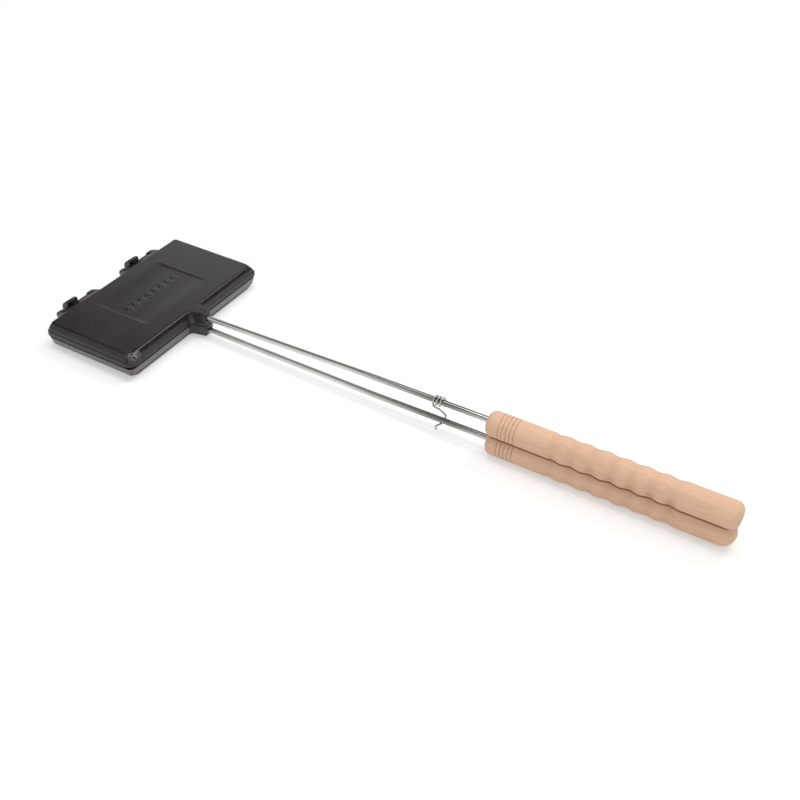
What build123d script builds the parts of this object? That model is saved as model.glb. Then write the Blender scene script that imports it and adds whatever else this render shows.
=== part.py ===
from build123d import *
import math
import os

# Campfire waffle iron: two hinged cast plates on long steel rods with turned wooden grips.
# Millimetres. The origin is the centre of the lower plate's bottom face. +X runs along the
# rods towards the grips, +Y runs along the hinge, and +Z is up. The plates meet on the
# parting plane. Each half is drawn with that plane at height zero and its outside upwards,
# and is then set in place, the lower one mirrored.

# Head: outline at the parting plane, and the height of one plate
HEAD_WIDTH = 212.0
HEAD_DEPTH = 118.0
PLATE_HEIGHT = 14.3
PARTING_GAP = 0.4
CORNER_RADIUS_LID = 7.5
CORNER_RADIUS_LOWER = 10.5

# Outside of a plate: a rim beside the parting plane, then a flank that leans in to the face
RIM_HEIGHT = 6.0
RIM_STEP = 0.8
RIM_ROUND = 0.5
FACE_INSET_GRIP_SIDE = 4.2
FACE_INSET_HINGE_SIDE = 3.6
FACE_INSET_ENDS_LID = 5.0
FACE_INSET_ENDS_LOWER = 8.5
FACE_CORNER_RADIUS = 6.0
FACE_EDGE_ROUND_LID = 2.5
FACE_EDGE_ROUND_LOWER = 1.2

# Baking cavity of one plate, with two fields of pegs and a score wall between them
LAND_WIDTH = 8.5
CAVITY_DEPTH = 10.0
CAVITY_DRAFT_DEG = 8.0
CAVITY_CORNER_RADIUS = 6.0
SCORE_WALL_WIDTH = 5.0
SCORE_WALL_HEIGHT = 7.0
SCORE_WALL_DRAFT_DEG = 6.0
PEG_ROWS = 6
PEG_COLUMNS = 6
PEG_GROOVE = 4.6
PEG_HEIGHT = 5.0
PEG_DRAFT_DEG = 10.0

# Sunk panel on the lid, with a row of raised lozenges
PANEL_LENGTH = 99.0
PANEL_WIDTH = 65.0
PANEL_CENTRE_X = -2.5
PANEL_DEPTH = 0.9
PANEL_CORNER_RADIUS = 5.0
PANEL_DRAFT_DEG = 45.0
LOZENGE_COUNT = 8
LOZENGE_PITCH = 10.5
LOZENGE_WIDTH = 14.0
LOZENGE_SHARE_OF_PITCH = 0.92
LOZENGE_HEIGHT = 0.55
LOZENGE_DRAFT_DEG = 20.0

# Neck of a plate, which holds its rod
NECK_LENGTH = 16.0
NECK_ROOT_HALF_WIDTH = 11.5
NECK_END_HALF_WIDTH = 6.7
NECK_DRAFT_DEG = 5.0
NECK_ROOT_RADIUS = 5.0
NECK_END_RADIUS = 2.0

# Rods: offsets are from the parting plane at the neck, and from the grips' meeting plane
ROD_RADIUS = 3.0
ROD_OFFSET_AT_NECK = 7.6
ROD_OFFSET_AT_GRIPS = 11.1
GRIP_RISE = 4.2
ROD_DEPTH_IN_HEAD = 3.5
ROD_STRAIGHT_PAST_NECK = 7.0
ROD_SPREAD_RUN = 196.0
ROD_STRAIGHT_BEFORE_GRIP = 8.8
ROD_BEND_RADIUS = 700.0
ROD_DEPTH_IN_GRIP = 180.2
ROD_PIN_RADIUS = 1.25
ROD_PIN_BACK_FROM_NECK_END = 8.0
ROD_PIN_SHORT_OF_SIDES = 0.6

# Grips: turned, with ring grooves and finger waves, and a flat where the two meet
GRIP_LENGTH = 243.0
GRIP_START_FROM_NECK = 334.6
GRIP_DROP_FROM_ROD = 2.0
GRIP_RADIUS = 12.8
GRIP_FRONT_DOME = 7.4
GRIP_REAR_DOME = 8.4
GRIP_MEETING_GAP = 0.3
RING_COUNT = 5
RING_FIRST = 14.8
RING_PITCH = 4.0
RING_WIDTH = 1.3
RING_DEPTH = 0.7
WAVE_COUNT = 7
WAVE_FIRST_VALLEY = 69.4
WAVE_PITCH = 18.9
WAVE_DEPTH = 1.3

# Hinge: two sets, each a pin in two lugs of the lid and a hook of the lower plate
HINGE_AXIS_FROM_HEAD = 12.8
HINGE_SET_WIDTH = 53.0
NEAR_SET_FROM_HEAD_END = 32.8
FAR_SET_FROM_HEAD_END = 27.6
LUG_WIDTH = 7.5
LUG_RADIUS = 4.8
LUG_WEB_TOP_DEG = 115.0
LUG_WEB_BOTTOM_DEG = -60.0
HINGE_PIN_RADIUS = 3.2
HINGE_PIN_CHAMFER = 0.5
HOOK_FROM_SET_START = 13.5
HOOK_WIDTH = 14.7
HOOK_CLEARANCE = 0.3
HOOK_OUTER_RADIUS = 9.2
HOOK_TIP_REACH = 1.0
SHELF_BACK_GAP = 0.5
SHELF_TIP_REACH = 6.6
SHELF_RISE_TO_FLANK = 2.4
SHELF_ABOVE_PARTING = 1.0

# Latch clip: a wire coiled on the upper rod, with an arm that hooks under the lower rod
CLIP_WIRE_RADIUS = 1.05
CLIP_COIL_CLEARANCE = 0.25
CLIP_FROM_GRIP = 50.3
CLIP_TURNS = 2.75
CLIP_PITCH = 3.75
CLIP_COIL_START = -7.8
CLIP_ROD_CLEARANCE = 0.45
CLIP_CROSSING_GAP = 0.7
CLIP_CROSSING_X = -3.6
CLIP_CROSSING_DEG = 40.0
CLIP_CROSSING_WAY = (-0.9, -0.5, 0.5)
CLIP_GAP_SAMPLES = 900

# The clip's hook and tail: places from the lower rod's axis, in hook radii, and directions
CLIP_HOOK = (
    ((-0.33, -1.30, -1.85), (-1.0, 0.0, 0.05)),
    ((-0.70, -1.30, -1.48), (0.0, 0.15, 1.0)),
    ((-0.35, -0.80, -1.04), (0.5, 0.85, 0.12)),
    ((0.08, 0.0, -1.0), (0.35, 1.0, 0.0)),
    ((0.50, 1.0, 0.0), (0.12, 0.0, 1.0)),
)

# The clip's arm: places from the upper rod's axis, in shares of the rods' spacing
CLIP_ARM = (
    ((0.128, 0.135, -0.752), (-0.15, -0.38, 1.0)),
    ((0.054, 0.045, -0.572), (-0.40, -0.55, 1.0)),
    ((-0.022, -0.090, -0.380), (-0.38, -0.62, 1.0)),
)

# Worked out from the sizes above
half_gap = PARTING_GAP / 2
head_front = HEAD_DEPTH / 2
head_back = -HEAD_DEPTH / 2
neck_end = head_front + NECK_LENGTH
grip_start = neck_end + GRIP_START_FROM_NECK
hinge_x = head_back - HINGE_AXIS_FROM_HEAD
near_set_y = -HEAD_WIDTH / 2 + NEAR_SET_FROM_HEAD_END
far_set_y = HEAD_WIDTH / 2 - FAR_SET_FROM_HEAD_END - HINGE_SET_WIDTH
rod_start = head_front - ROD_DEPTH_IN_HEAD
rod_pin_x = neck_end - ROD_PIN_BACK_FROM_NECK_END
rod_bend_x = neck_end + ROD_STRAIGHT_PAST_NECK
rod_parallel_x = rod_bend_x + ROD_SPREAD_RUN
rod_level_x = grip_start - ROD_STRAIGHT_BEFORE_GRIP
rod_end = grip_start + ROD_DEPTH_IN_GRIP
rise_slope = GRIP_RISE / (rod_level_x - rod_bend_x)
clip_x = grip_start - CLIP_FROM_GRIP
coil_radius = ROD_RADIUS + CLIP_COIL_CLEARANCE + CLIP_WIRE_RADIUS


def place_upper(shape):
    """Sets a shape drawn over the parting plane in place in the upper half."""
    return Location((0, 0, PLATE_HEIGHT)) * shape


def place_lower(shape):
    """Mirrors a shape drawn over the parting plane into the lower half."""
    return Location((0, 0, PLATE_HEIGHT)) * mirror(shape, about=Plane.XY)


def head_outline(height, back_inset, front_inset, end_inset, corner):
    """A rounded rectangle at a height, set in from the head's outline on each side."""
    length = HEAD_DEPTH - back_inset - front_inset
    centre_x = (back_inset - front_inset) / 2
    at = Plane((centre_x, 0, height))
    return at * RectangleRounded(length, HEAD_WIDTH - 2 * end_inset, corner)


def side_block(profile, y_start, width):
    """A block of an X and Z profile that runs along Y from y_start."""
    face = Plane((0, y_start, 0), x_dir=(1, 0, 0), z_dir=(0, -1, 0)) * profile
    return extrude(face, amount=width, dir=(0, 1, 0))


def bar_along_y(x, z, radius, y_start, length):
    """A round bar along Y."""
    return Pos(x, y_start + length / 2, z) * Rot(90, 0, 0) * Cylinder(radius, length)


def plate_shell(end_inset, corner, edge_round):
    """The outside of one plate: its rim, its leaning flank and its rounded face edge."""
    rim_outline = head_outline(half_gap, 0, 0, 0, corner)
    rim = extrude(rim_outline, amount=RIM_HEIGHT - half_gap)
    rim = fillet(rim.edges().group_by(Axis.Z)[-1], RIM_ROUND)
    low = head_outline(RIM_HEIGHT, RIM_STEP, RIM_STEP, RIM_STEP, corner - RIM_STEP)
    high = head_outline(PLATE_HEIGHT, FACE_INSET_HINGE_SIDE, FACE_INSET_GRIP_SIDE,
                        end_inset, FACE_CORNER_RADIUS)
    flank = loft([low, high], ruled=True)
    flank = fillet(flank.edges().group_by(Axis.Z)[-1], edge_round)
    return rim + flank


def neck_block():
    """The tapered neck, flush with the face, with soft roots where it leaves the plate."""
    root_x = head_front - FACE_INSET_GRIP_SIDE - FACE_EDGE_ROUND_LID
    plate_edge = head_front - FACE_INSET_GRIP_SIDE
    wing = Pos((root_x + plate_edge) / 2, 0) * Rectangle(plate_edge - root_x,
                                                        4 * NECK_ROOT_HALF_WIDTH)
    taper = Polygon((root_x, -NECK_ROOT_HALF_WIDTH), (neck_end, -NECK_END_HALF_WIDTH),
                    (neck_end, NECK_END_HALF_WIDTH), (root_x, NECK_ROOT_HALF_WIDTH),
                    align=None)
    plan = wing + taper
    roots = [v for v in plan.vertices()
             if abs(v.X - plate_edge) < 1e-6 and abs(v.Y) < NECK_ROOT_HALF_WIDTH + 1e-6]
    plan = fillet(roots, NECK_ROOT_RADIUS)
    ends = plan.vertices().group_by(Axis.X)[-1]
    plan = fillet(ends, NECK_END_RADIUS)
    block = extrude(Pos(0, 0, half_gap) * plan, amount=PLATE_HEIGHT - half_gap,
                    taper=NECK_DRAFT_DEG)
    return block


def cavity_space():
    """The space cut from a plate, narrower at its floor."""
    mouth = RectangleRounded(HEAD_DEPTH - 2 * LAND_WIDTH, HEAD_WIDTH - 2 * LAND_WIDTH,
                             CAVITY_CORNER_RADIUS)
    return extrude(mouth, amount=CAVITY_DEPTH, taper=CAVITY_DRAFT_DEG)


def peg_fields():
    """Both fields of pegs and the score wall, standing on the cavity's floor."""
    floor_inset = LAND_WIDTH + CAVITY_DEPTH * math.tan(math.radians(CAVITY_DRAFT_DEG))
    field_x = HEAD_DEPTH - 2 * floor_inset
    field_y = HEAD_WIDTH / 2 - floor_inset - SCORE_WALL_WIDTH / 2
    peg_x = (field_x - (PEG_ROWS + 1) * PEG_GROOVE) / PEG_ROWS
    peg_y = (field_y - (PEG_COLUMNS + 1) * PEG_GROOVE) / PEG_COLUMNS
    floor = Plane((0, 0, CAVITY_DEPTH), x_dir=(1, 0, 0), z_dir=(0, 0, -1))
    field_centre = SCORE_WALL_WIDTH / 2 + field_y / 2
    pegs = []
    for side in (-1, 1):
        spots = GridLocations(peg_x + PEG_GROOVE, peg_y + PEG_GROOVE, PEG_ROWS, PEG_COLUMNS)
        for spot in spots:
            square = Pos(0, side * field_centre) * spot * Rectangle(peg_x, peg_y)
            pegs.append(extrude(floor * square, amount=PEG_HEIGHT, taper=PEG_DRAFT_DEG))
    wall = Rectangle(HEAD_DEPTH - 2 * LAND_WIDTH, SCORE_WALL_WIDTH)
    pegs.append(extrude(floor * wall, amount=SCORE_WALL_HEIGHT, taper=SCORE_WALL_DRAFT_DEG))
    return pegs


def rod_and_pin_bores():
    """The blind bore for the rod and the cross bore for its pin, as the solids to cut."""
    length = neck_end - rod_start + 1
    bore = Pos(rod_start + length / 2, 0, ROD_OFFSET_AT_NECK) * Rot(0, 90, 0) * Cylinder(
        ROD_RADIUS, length)
    across = bar_along_y(rod_pin_x, ROD_OFFSET_AT_NECK, ROD_PIN_RADIUS,
                         -2 * NECK_ROOT_HALF_WIDTH, 4 * NECK_ROOT_HALF_WIDTH)
    return bore + across


def plate_half(end_inset, corner, edge_round):
    """What both plates share: shell, neck, baking cavity and bores."""
    outside = plate_shell(end_inset, corner, edge_round) + neck_block()
    cavity = cavity_space()
    pegs = [peg & cavity for peg in peg_fields()]
    hollow = outside - cavity
    return hollow + pegs - rod_and_pin_bores()


def lid_panel(plate):
    """Sinks the panel in the lid and stands the lozenges on its floor."""
    top = Plane((PANEL_CENTRE_X, 0, PLATE_HEIGHT), x_dir=(1, 0, 0), z_dir=(0, 0, -1))
    outline = RectangleRounded(PANEL_WIDTH, PANEL_LENGTH, PANEL_CORNER_RADIUS)
    plate = plate - extrude(top * outline, amount=PANEL_DEPTH, taper=PANEL_DRAFT_DEG)
    lozenges = []
    for i in range(LOZENGE_COUNT):
        y = (i - (LOZENGE_COUNT - 1) / 2) * LOZENGE_PITCH
        half_x, half_y = LOZENGE_WIDTH / 2, LOZENGE_PITCH * LOZENGE_SHARE_OF_PITCH / 2
        shape = Polygon((half_x, 0), (0, half_y), (-half_x, 0), (0, -half_y), align=None)
        seat = Plane((PANEL_CENTRE_X, y, PLATE_HEIGHT - PANEL_DEPTH))
        lozenges.append(extrude(seat * shape, amount=LOZENGE_HEIGHT, taper=LOZENGE_DRAFT_DEG))
    return plate + lozenges


def shelf_tip():
    """The highest point of the shelf's back, on its clearance circle round the hinge axis."""
    clear = HOOK_OUTER_RADIUS + SHELF_BACK_GAP
    tip_x = head_back - SHELF_TIP_REACH
    return tip_x, math.sqrt(clear ** 2 - (tip_x - hinge_x) ** 2)


def shelf_profile():
    """The shelf along the lid's hinge side, hollow at the back to swing past the hooks."""
    tip_x, tip_z = shelf_tip()
    flank_x = head_back + FACE_INSET_HINGE_SIDE
    block = Polygon((flank_x, tip_z + SHELF_RISE_TO_FLANK), (tip_x, tip_z),
                    (tip_x, SHELF_ABOVE_PARTING), (flank_x, SHELF_ABOVE_PARTING), align=None)
    return block - Pos(hinge_x, 0) * Circle(HOOK_OUTER_RADIUS + SHELF_BACK_GAP)


def lug_profile():
    """One lug: a round eye on the hinge axis, with a web to the shelf and the lid's rim."""
    tip_x, tip_z = shelf_tip()
    top, bottom = math.radians(LUG_WEB_TOP_DEG), math.radians(LUG_WEB_BOTTOM_DEG)
    eye_top = (hinge_x + LUG_RADIUS * math.cos(top), LUG_RADIUS * math.sin(top))
    eye_bottom = (hinge_x + LUG_RADIUS * math.cos(bottom), LUG_RADIUS * math.sin(bottom))
    flank_x = head_back + FACE_INSET_HINGE_SIDE
    web = Polygon(eye_top, (tip_x, tip_z), (flank_x, tip_z), (flank_x, SHELF_ABOVE_PARTING),
                  (head_back - SHELF_ABOVE_PARTING, SHELF_ABOVE_PARTING), eye_bottom,
                  (hinge_x, 0), align=None)
    return web + Pos(hinge_x, 0) * Circle(LUG_RADIUS)


def upper_plate():
    """The upper casting: shared half, lid panel, hinge shelves and lugs."""
    half = lid_panel(plate_half(FACE_INSET_ENDS_LID, CORNER_RADIUS_LID,
                                FACE_EDGE_ROUND_LID))
    for y in (near_set_y, far_set_y):
        half += side_block(shelf_profile(), y, HINGE_SET_WIDTH)
        half += side_block(lug_profile(), y, LUG_WIDTH)
        half += side_block(lug_profile(), y + HINGE_SET_WIDTH - LUG_WIDTH, LUG_WIDTH)
    for y in (near_set_y, far_set_y):
        half -= bar_along_y(hinge_x, 0, HINGE_PIN_RADIUS, y - 1, HINGE_SET_WIDTH + 2)
    return place_upper(half)


def hook_profile():
    """One hook: a stem under the pin, and a ring up behind it to a blunt tip above it."""
    bore = HINGE_PIN_RADIUS + HOOK_CLEARANCE
    reach = HINGE_AXIS_FROM_HEAD + FACE_INSET_HINGE_SIDE
    height = HOOK_OUTER_RADIUS - bore
    ring = Circle(HOOK_OUTER_RADIUS) - Circle(bore)
    mouth = Pos(HOOK_TIP_REACH + HOOK_OUTER_RADIUS / 2, height / 2) * Rectangle(
        HOOK_OUTER_RADIUS, HOOK_OUTER_RADIUS + bore)
    slot = Pos(HOOK_OUTER_RADIUS / 2, 0) * Rectangle(HOOK_OUTER_RADIUS, 2 * bore)
    stem = Pos(reach / 2, -bore - height / 2) * Rectangle(reach, height)
    return Pos(hinge_x, 0) * (ring - mouth - slot + stem)


def lower_plate():
    """The lower casting: shared half and the two hooks."""
    half = plate_half(FACE_INSET_ENDS_LOWER, CORNER_RADIUS_LOWER, FACE_EDGE_ROUND_LOWER)
    for y in (near_set_y, far_set_y):
        hook = side_block(hook_profile(), y + HOOK_FROM_SET_START, HOOK_WIDTH)
        half += mirror(hook, about=Plane.XY)
    return place_lower(half)


def hinge_pin(y_start):
    """A hinge pin, flush with the outer faces of its lugs."""
    pin = bar_along_y(hinge_x, PLATE_HEIGHT, HINGE_PIN_RADIUS, y_start, HINGE_SET_WIDTH)
    ends = pin.edges().filter_by(GeomType.CIRCLE)
    return chamfer(ends, HINGE_PIN_CHAMFER)


def rod_height(side, x):
    """A rod's height over the parting plane at x on its middle runs, side 1 or -1."""
    spread = (ROD_OFFSET_AT_GRIPS - ROD_OFFSET_AT_NECK) * min(
        1, (x - rod_bend_x) / ROD_SPREAD_RUN)
    return side * (ROD_OFFSET_AT_NECK + spread) + rise_slope * (x - rod_bend_x)


def rod(side):
    """A rod: straight in the neck, spreading, parallel to the other, straight in the grip."""
    points = [(x, 0, PLATE_HEIGHT + z) for x, z in (
        (rod_start, side * ROD_OFFSET_AT_NECK),
        (rod_bend_x, rod_height(side, rod_bend_x)),
        (rod_parallel_x, rod_height(side, rod_parallel_x)),
        (rod_level_x, rod_height(side, rod_level_x)),
        (rod_end, side * ROD_OFFSET_AT_GRIPS + GRIP_RISE))]
    line = FilletPolyline(*points, radius=ROD_BEND_RADIUS)
    start = Plane(origin=line @ 0, z_dir=line % 0)
    bar = sweep(start * Circle(ROD_RADIUS), path=line)
    height = PLATE_HEIGHT + side * ROD_OFFSET_AT_NECK
    return bar - bar_along_y(rod_pin_x, height, ROD_PIN_RADIUS, -2 * ROD_RADIUS,
                             4 * ROD_RADIUS)


def rod_pin(side):
    """The cross pin that holds a rod in its neck, just short of the neck's sides."""
    run = NECK_LENGTH + FACE_INSET_GRIP_SIDE + FACE_EDGE_ROUND_LID
    share = ROD_PIN_BACK_FROM_NECK_END / run
    base = NECK_END_HALF_WIDTH + share * (NECK_ROOT_HALF_WIDTH - NECK_END_HALF_WIDTH)
    lean = (ROD_OFFSET_AT_NECK + ROD_PIN_RADIUS) * math.tan(math.radians(NECK_DRAFT_DEG))
    half = base - lean - ROD_PIN_SHORT_OF_SIDES
    height = PLATE_HEIGHT + side * ROD_OFFSET_AT_NECK
    return bar_along_y(rod_pin_x, height, ROD_PIN_RADIUS, -half, 2 * half)


def grip_outline():
    """Half of a grip's turned section, length along X and radius along Y."""
    wave_height = WAVE_DEPTH / 2
    quarter = WAVE_PITCH / 4
    wave_start = WAVE_FIRST_VALLEY - quarter
    lines = [Line((0, 0), (0, GRIP_RADIUS - GRIP_FRONT_DOME))]
    x, r = 0, GRIP_RADIUS - GRIP_FRONT_DOME
    bend = GRIP_FRONT_DOME * (1 - math.sqrt(0.5))
    dome_end = (GRIP_FRONT_DOME, GRIP_RADIUS)
    lines.append(ThreePointArc((x, r), (bend, GRIP_RADIUS - bend), dome_end))
    lines.append(Line(dome_end, (wave_start, GRIP_RADIUS)))
    at = wave_start
    for _ in range(WAVE_COUNT):
        valley = (at + quarter, GRIP_RADIUS - wave_height)
        crest = (at + 3 * quarter, GRIP_RADIUS + wave_height)
        lines.append(ThreePointArc((at, GRIP_RADIUS), valley,
                                   (at + 2 * quarter, GRIP_RADIUS)))
        lines.append(ThreePointArc((at + 2 * quarter, GRIP_RADIUS), crest,
                                   (at + WAVE_PITCH, GRIP_RADIUS)))
        at += WAVE_PITCH
    back_start = (GRIP_LENGTH - GRIP_REAR_DOME, GRIP_RADIUS)
    back_end = (GRIP_LENGTH, GRIP_RADIUS - GRIP_REAR_DOME)
    bend = GRIP_REAR_DOME * (1 - math.sqrt(0.5))
    lines.append(Line((at, GRIP_RADIUS), back_start))
    lines.append(ThreePointArc(back_start, (GRIP_LENGTH - bend, GRIP_RADIUS - bend),
                               back_end))
    lines.append(Line(back_end, (GRIP_LENGTH, 0)))
    lines.append(Line((GRIP_LENGTH, 0), (0, 0)))
    return make_face(Curve() + lines)


def grip(side):
    """A turned grip on its rod, with its grooves, and cut flat where the grips meet."""
    body = revolve(grip_outline(), axis=Axis.X)
    for i in range(RING_COUNT):
        at = RING_FIRST + i * RING_PITCH
        notch = Polygon((at - RING_WIDTH / 2, GRIP_RADIUS + 0.1),
                        (at, GRIP_RADIUS - RING_DEPTH),
                        (at + RING_WIDTH / 2, GRIP_RADIUS + 0.1), align=None)
        body -= revolve(notch, axis=Axis.X)
    body -= Pos(ROD_DEPTH_IN_GRIP / 2, 0, side * GRIP_DROP_FROM_ROD) * Rot(
        0, 90, 0) * Cylinder(ROD_RADIUS, ROD_DEPTH_IN_GRIP)
    keep = ROD_OFFSET_AT_GRIPS - GRIP_MEETING_GAP / 2
    flat = Pos(GRIP_LENGTH / 2, 0, -keep - GRIP_RADIUS) * Box(
        GRIP_LENGTH + 2, 4 * GRIP_RADIUS, 2 * GRIP_RADIUS)
    body -= flat
    if side < 0:
        body = mirror(body, about=Plane.XY)
    meeting = PLATE_HEIGHT + GRIP_RISE - GRIP_DROP_FROM_ROD
    return Pos(grip_start, 0, meeting + side * ROD_OFFSET_AT_GRIPS) * body


def biarc(start, start_way, end, end_way):
    """Two arcs from start to end, tangent to each way and to each other."""
    step = end - start
    both = start_way + end_way
    square = 2 * (1 - start_way.dot(end_way))
    along = step.dot(both)
    reach = (-along + math.sqrt(along ** 2 + square * step.dot(step))) / square
    first = start + start_way * reach
    last = end - end_way * reach
    middle = (first + last) * 0.5
    return [TangentArc(start, middle, tangent=start_way),
            TangentArc(middle, end, tangent=last - first)]


def clip_stations():
    """Points and directions along the clip's wire, round the upper rod's axis as X."""
    spacing = 2 * ROD_OFFSET_AT_GRIPS * math.cos(math.atan(rise_slope))
    hook = ROD_RADIUS + CLIP_ROD_CLEARANCE + CLIP_WIRE_RADIUS
    lower_rod = Vector(0, 0, -spacing)
    stations = [(lower_rod + Vector(*place) * hook, Vector(*way)) for place, way in CLIP_HOOK]
    stations += [(Vector(*place) * spacing, Vector(*way)) for place, way in CLIP_ARM]
    crossing = coil_radius + 2 * CLIP_WIRE_RADIUS + CLIP_CROSSING_GAP
    below = math.radians(CLIP_CROSSING_DEG)
    stations.append((Vector(CLIP_CROSSING_X, -crossing * math.cos(below),
                            -crossing * math.sin(below)), Vector(*CLIP_CROSSING_WAY)))
    pitch_way = CLIP_PITCH / (2 * math.pi)
    for i in range(round(CLIP_TURNS * 4) + 1):
        turn = i * math.pi / 2
        x = CLIP_COIL_START + CLIP_PITCH * i / 4
        point = Vector(x, -coil_radius * math.cos(turn), coil_radius * math.sin(turn))
        way = Vector(pitch_way, coil_radius * math.sin(turn), coil_radius * math.cos(turn))
        stations.append((point, way))
    return [(point, way.normalized()) for point, way in stations]


def print_least_gap(line):
    """Prints the clip wire's least gap to itself, between points well apart along it."""
    points = [line @ (i / CLIP_GAP_SAMPLES) for i in range(CLIP_GAP_SAMPLES + 1)]
    apart = round(math.pi * coil_radius / line.length * CLIP_GAP_SAMPLES)
    least = min((a - b).length for i, a in enumerate(points) for b in points[i + apart:])
    print("latch_clip least gap to itself", round(least - 2 * CLIP_WIRE_RADIUS, 2), "mm")


def latch_clip():
    """The clip, as one wire swept along arcs, on the upper rod's parallel run."""
    stations = clip_stations()
    edges = []
    for (start, start_way), (end, end_way) in zip(stations, stations[1:]):
        edges += biarc(start, start_way, end, end_way)
    line = Wire([edge.edge() for edge in edges])
    print_least_gap(line)
    begin = Plane(origin=line @ 0, z_dir=line % 0)
    wire = sweep(begin * Circle(CLIP_WIRE_RADIUS), path=line)
    seat = Plane((clip_x, 0, PLATE_HEIGHT + rod_height(1, clip_x)),
                 x_dir=(1, 0, rise_slope), z_dir=(-rise_slope, 0, 1))
    return seat.location * wire


def build():
    """Every piece of the iron, by its node's name."""
    return {
        "lower_plate": lower_plate(),
        "upper_plate": upper_plate(),
        "lower_rod": rod(-1),
        "upper_rod": rod(1),
        "lower_grip": grip(-1),
        "upper_grip": grip(1),
        "lower_rod_pin": rod_pin(-1),
        "upper_rod_pin": rod_pin(1),
        "hinge_pin_near": hinge_pin(near_set_y),
        "hinge_pin_far": hinge_pin(far_set_y),
        "latch_clip": latch_clip(),
    }


os.makedirs("parts", exist_ok=True)
pieces = build()
for name, piece in pieces.items():
    export_step(piece, f"parts/{name}.step")
    print(name, round(piece.volume), "mm3")
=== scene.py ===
"""The looks of a campfire waffle iron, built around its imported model.

Sizes in the classes are millimetres in the model's frame: +X runs along the rods towards the
grips, +Y along the hinge and +Z up, from the centre of the lower plate's bottom face. Meshes
are made in metres, and each piece's object stays at the origin.
"""

from __future__ import annotations

import logging
import math
from dataclasses import dataclass, field
from enum import Enum
from typing import Iterable, Sequence, Union

import bmesh
import bpy
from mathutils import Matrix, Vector

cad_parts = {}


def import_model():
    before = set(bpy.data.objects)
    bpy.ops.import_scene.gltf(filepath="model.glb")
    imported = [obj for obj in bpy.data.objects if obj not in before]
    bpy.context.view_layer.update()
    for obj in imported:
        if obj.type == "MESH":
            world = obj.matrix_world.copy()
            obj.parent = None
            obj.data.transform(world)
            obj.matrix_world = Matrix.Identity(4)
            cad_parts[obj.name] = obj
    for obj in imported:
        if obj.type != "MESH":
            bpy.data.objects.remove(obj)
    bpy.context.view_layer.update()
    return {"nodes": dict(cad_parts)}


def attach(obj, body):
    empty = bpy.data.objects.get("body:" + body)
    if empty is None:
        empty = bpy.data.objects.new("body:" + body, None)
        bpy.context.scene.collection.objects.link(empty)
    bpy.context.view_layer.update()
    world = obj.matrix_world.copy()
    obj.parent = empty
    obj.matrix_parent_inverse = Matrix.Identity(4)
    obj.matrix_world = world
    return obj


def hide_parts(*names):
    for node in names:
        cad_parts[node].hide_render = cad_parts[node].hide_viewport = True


LOG = logging.getLogger("waffle_iron")
MM = 0.001
LEAST_MITRE = 0.4
STRAIGHT_TURN = 0.05

Colour = tuple[float, float, float]
CornerRadii = tuple[tuple[float, float], tuple[float, float]]
Ring = list[bmesh.types.BMVert]
Value = Union[bpy.types.NodeSocket, float, int, bool, Sequence[float], bpy.types.ID]


class Side(Enum):
    """Which half of the iron a piece belongs to, and which way is outwards from the parting."""

    LOWER = -1
    UPPER = 1

    @property
    def body(self) -> str:
        """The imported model's body for this half."""
        return "upper_half" if self is Side.UPPER else "lower_half"

    @property
    def word(self) -> str:
        """The half's name at the start of its pieces' names."""
        return "upper" if self is Side.UPPER else "lower"


@dataclass(frozen=True)
class Corner:
    """A corner of an outline: its place, its rounding, and the level on each side of it."""

    x: float
    y: float
    radius: float
    level_in: float = 0.0
    level_out: float = 0.0


def rounded(corners: Sequence[Corner], steps: int, runs: int = 1) -> list[Vector]:
    """Rounds the corners of a closed outline.

    Args:
        corners: The corners in order, counter-clockwise for an outer outline.
        steps: Steps along each rounding, the same for all, so that outlines can be joined.
        runs: Parts that each straight run is divided into.

    Returns:
        Points with X and Y, and the level as Z.
    """
    arcs: list[list[Vector]] = []
    for i, corner in enumerate(corners):
        here = Vector((corner.x, corner.y))
        before, after = corners[i - 1], corners[(i + 1) % len(corners)]
        way_back = (Vector((before.x, before.y)) - here).normalized()
        way_on = (Vector((after.x, after.y)) - here).normalized()
        half = math.acos(max(-1.0, min(1.0, way_back.dot(way_on)))) / 2
        cut = corner.radius / math.tan(half)
        centre = here + (way_back + way_on).normalized() * (corner.radius / math.sin(half))
        first, last = here + way_back * cut - centre, here + way_on * cut - centre
        start = math.atan2(first.y, first.x)
        turn = (math.atan2(last.y, last.x) - start + math.pi) % (2 * math.pi) - math.pi
        arc = []
        for k in range(steps + 1):
            share = k / steps
            angle = start + turn * share
            level = corner.level_in + (corner.level_out - corner.level_in) * share
            arc.append(Vector((centre.x + corner.radius * math.cos(angle),
                               centre.y + corner.radius * math.sin(angle), level)))
        arcs.append(arc)
    points: list[Vector] = []
    for i, arc in enumerate(arcs):
        points += arc
        onward = arcs[(i + 1) % len(arcs)][0]
        points += [arc[-1].lerp(onward, k / runs) for k in range(1, runs)]
    return points


def oblong(length: float, width: float, radius: float, centre_x: float = 0.0,
           centre_y: float = 0.0) -> list[Corner]:
    """The four corners of a rounded rectangle, counter-clockwise.

    Args:
        length: Its size along X.
        width: Its size along Y.
        radius: The radius of its corners.
        centre_x: X of its centre.
        centre_y: Y of its centre.

    Returns:
        The corners.
    """
    half_x, half_y = length / 2, width / 2
    return [Corner(centre_x + sx * half_x, centre_y + sy * half_y, radius)
            for sx, sy in ((1, -1), (1, 1), (-1, 1), (-1, -1))]


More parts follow.
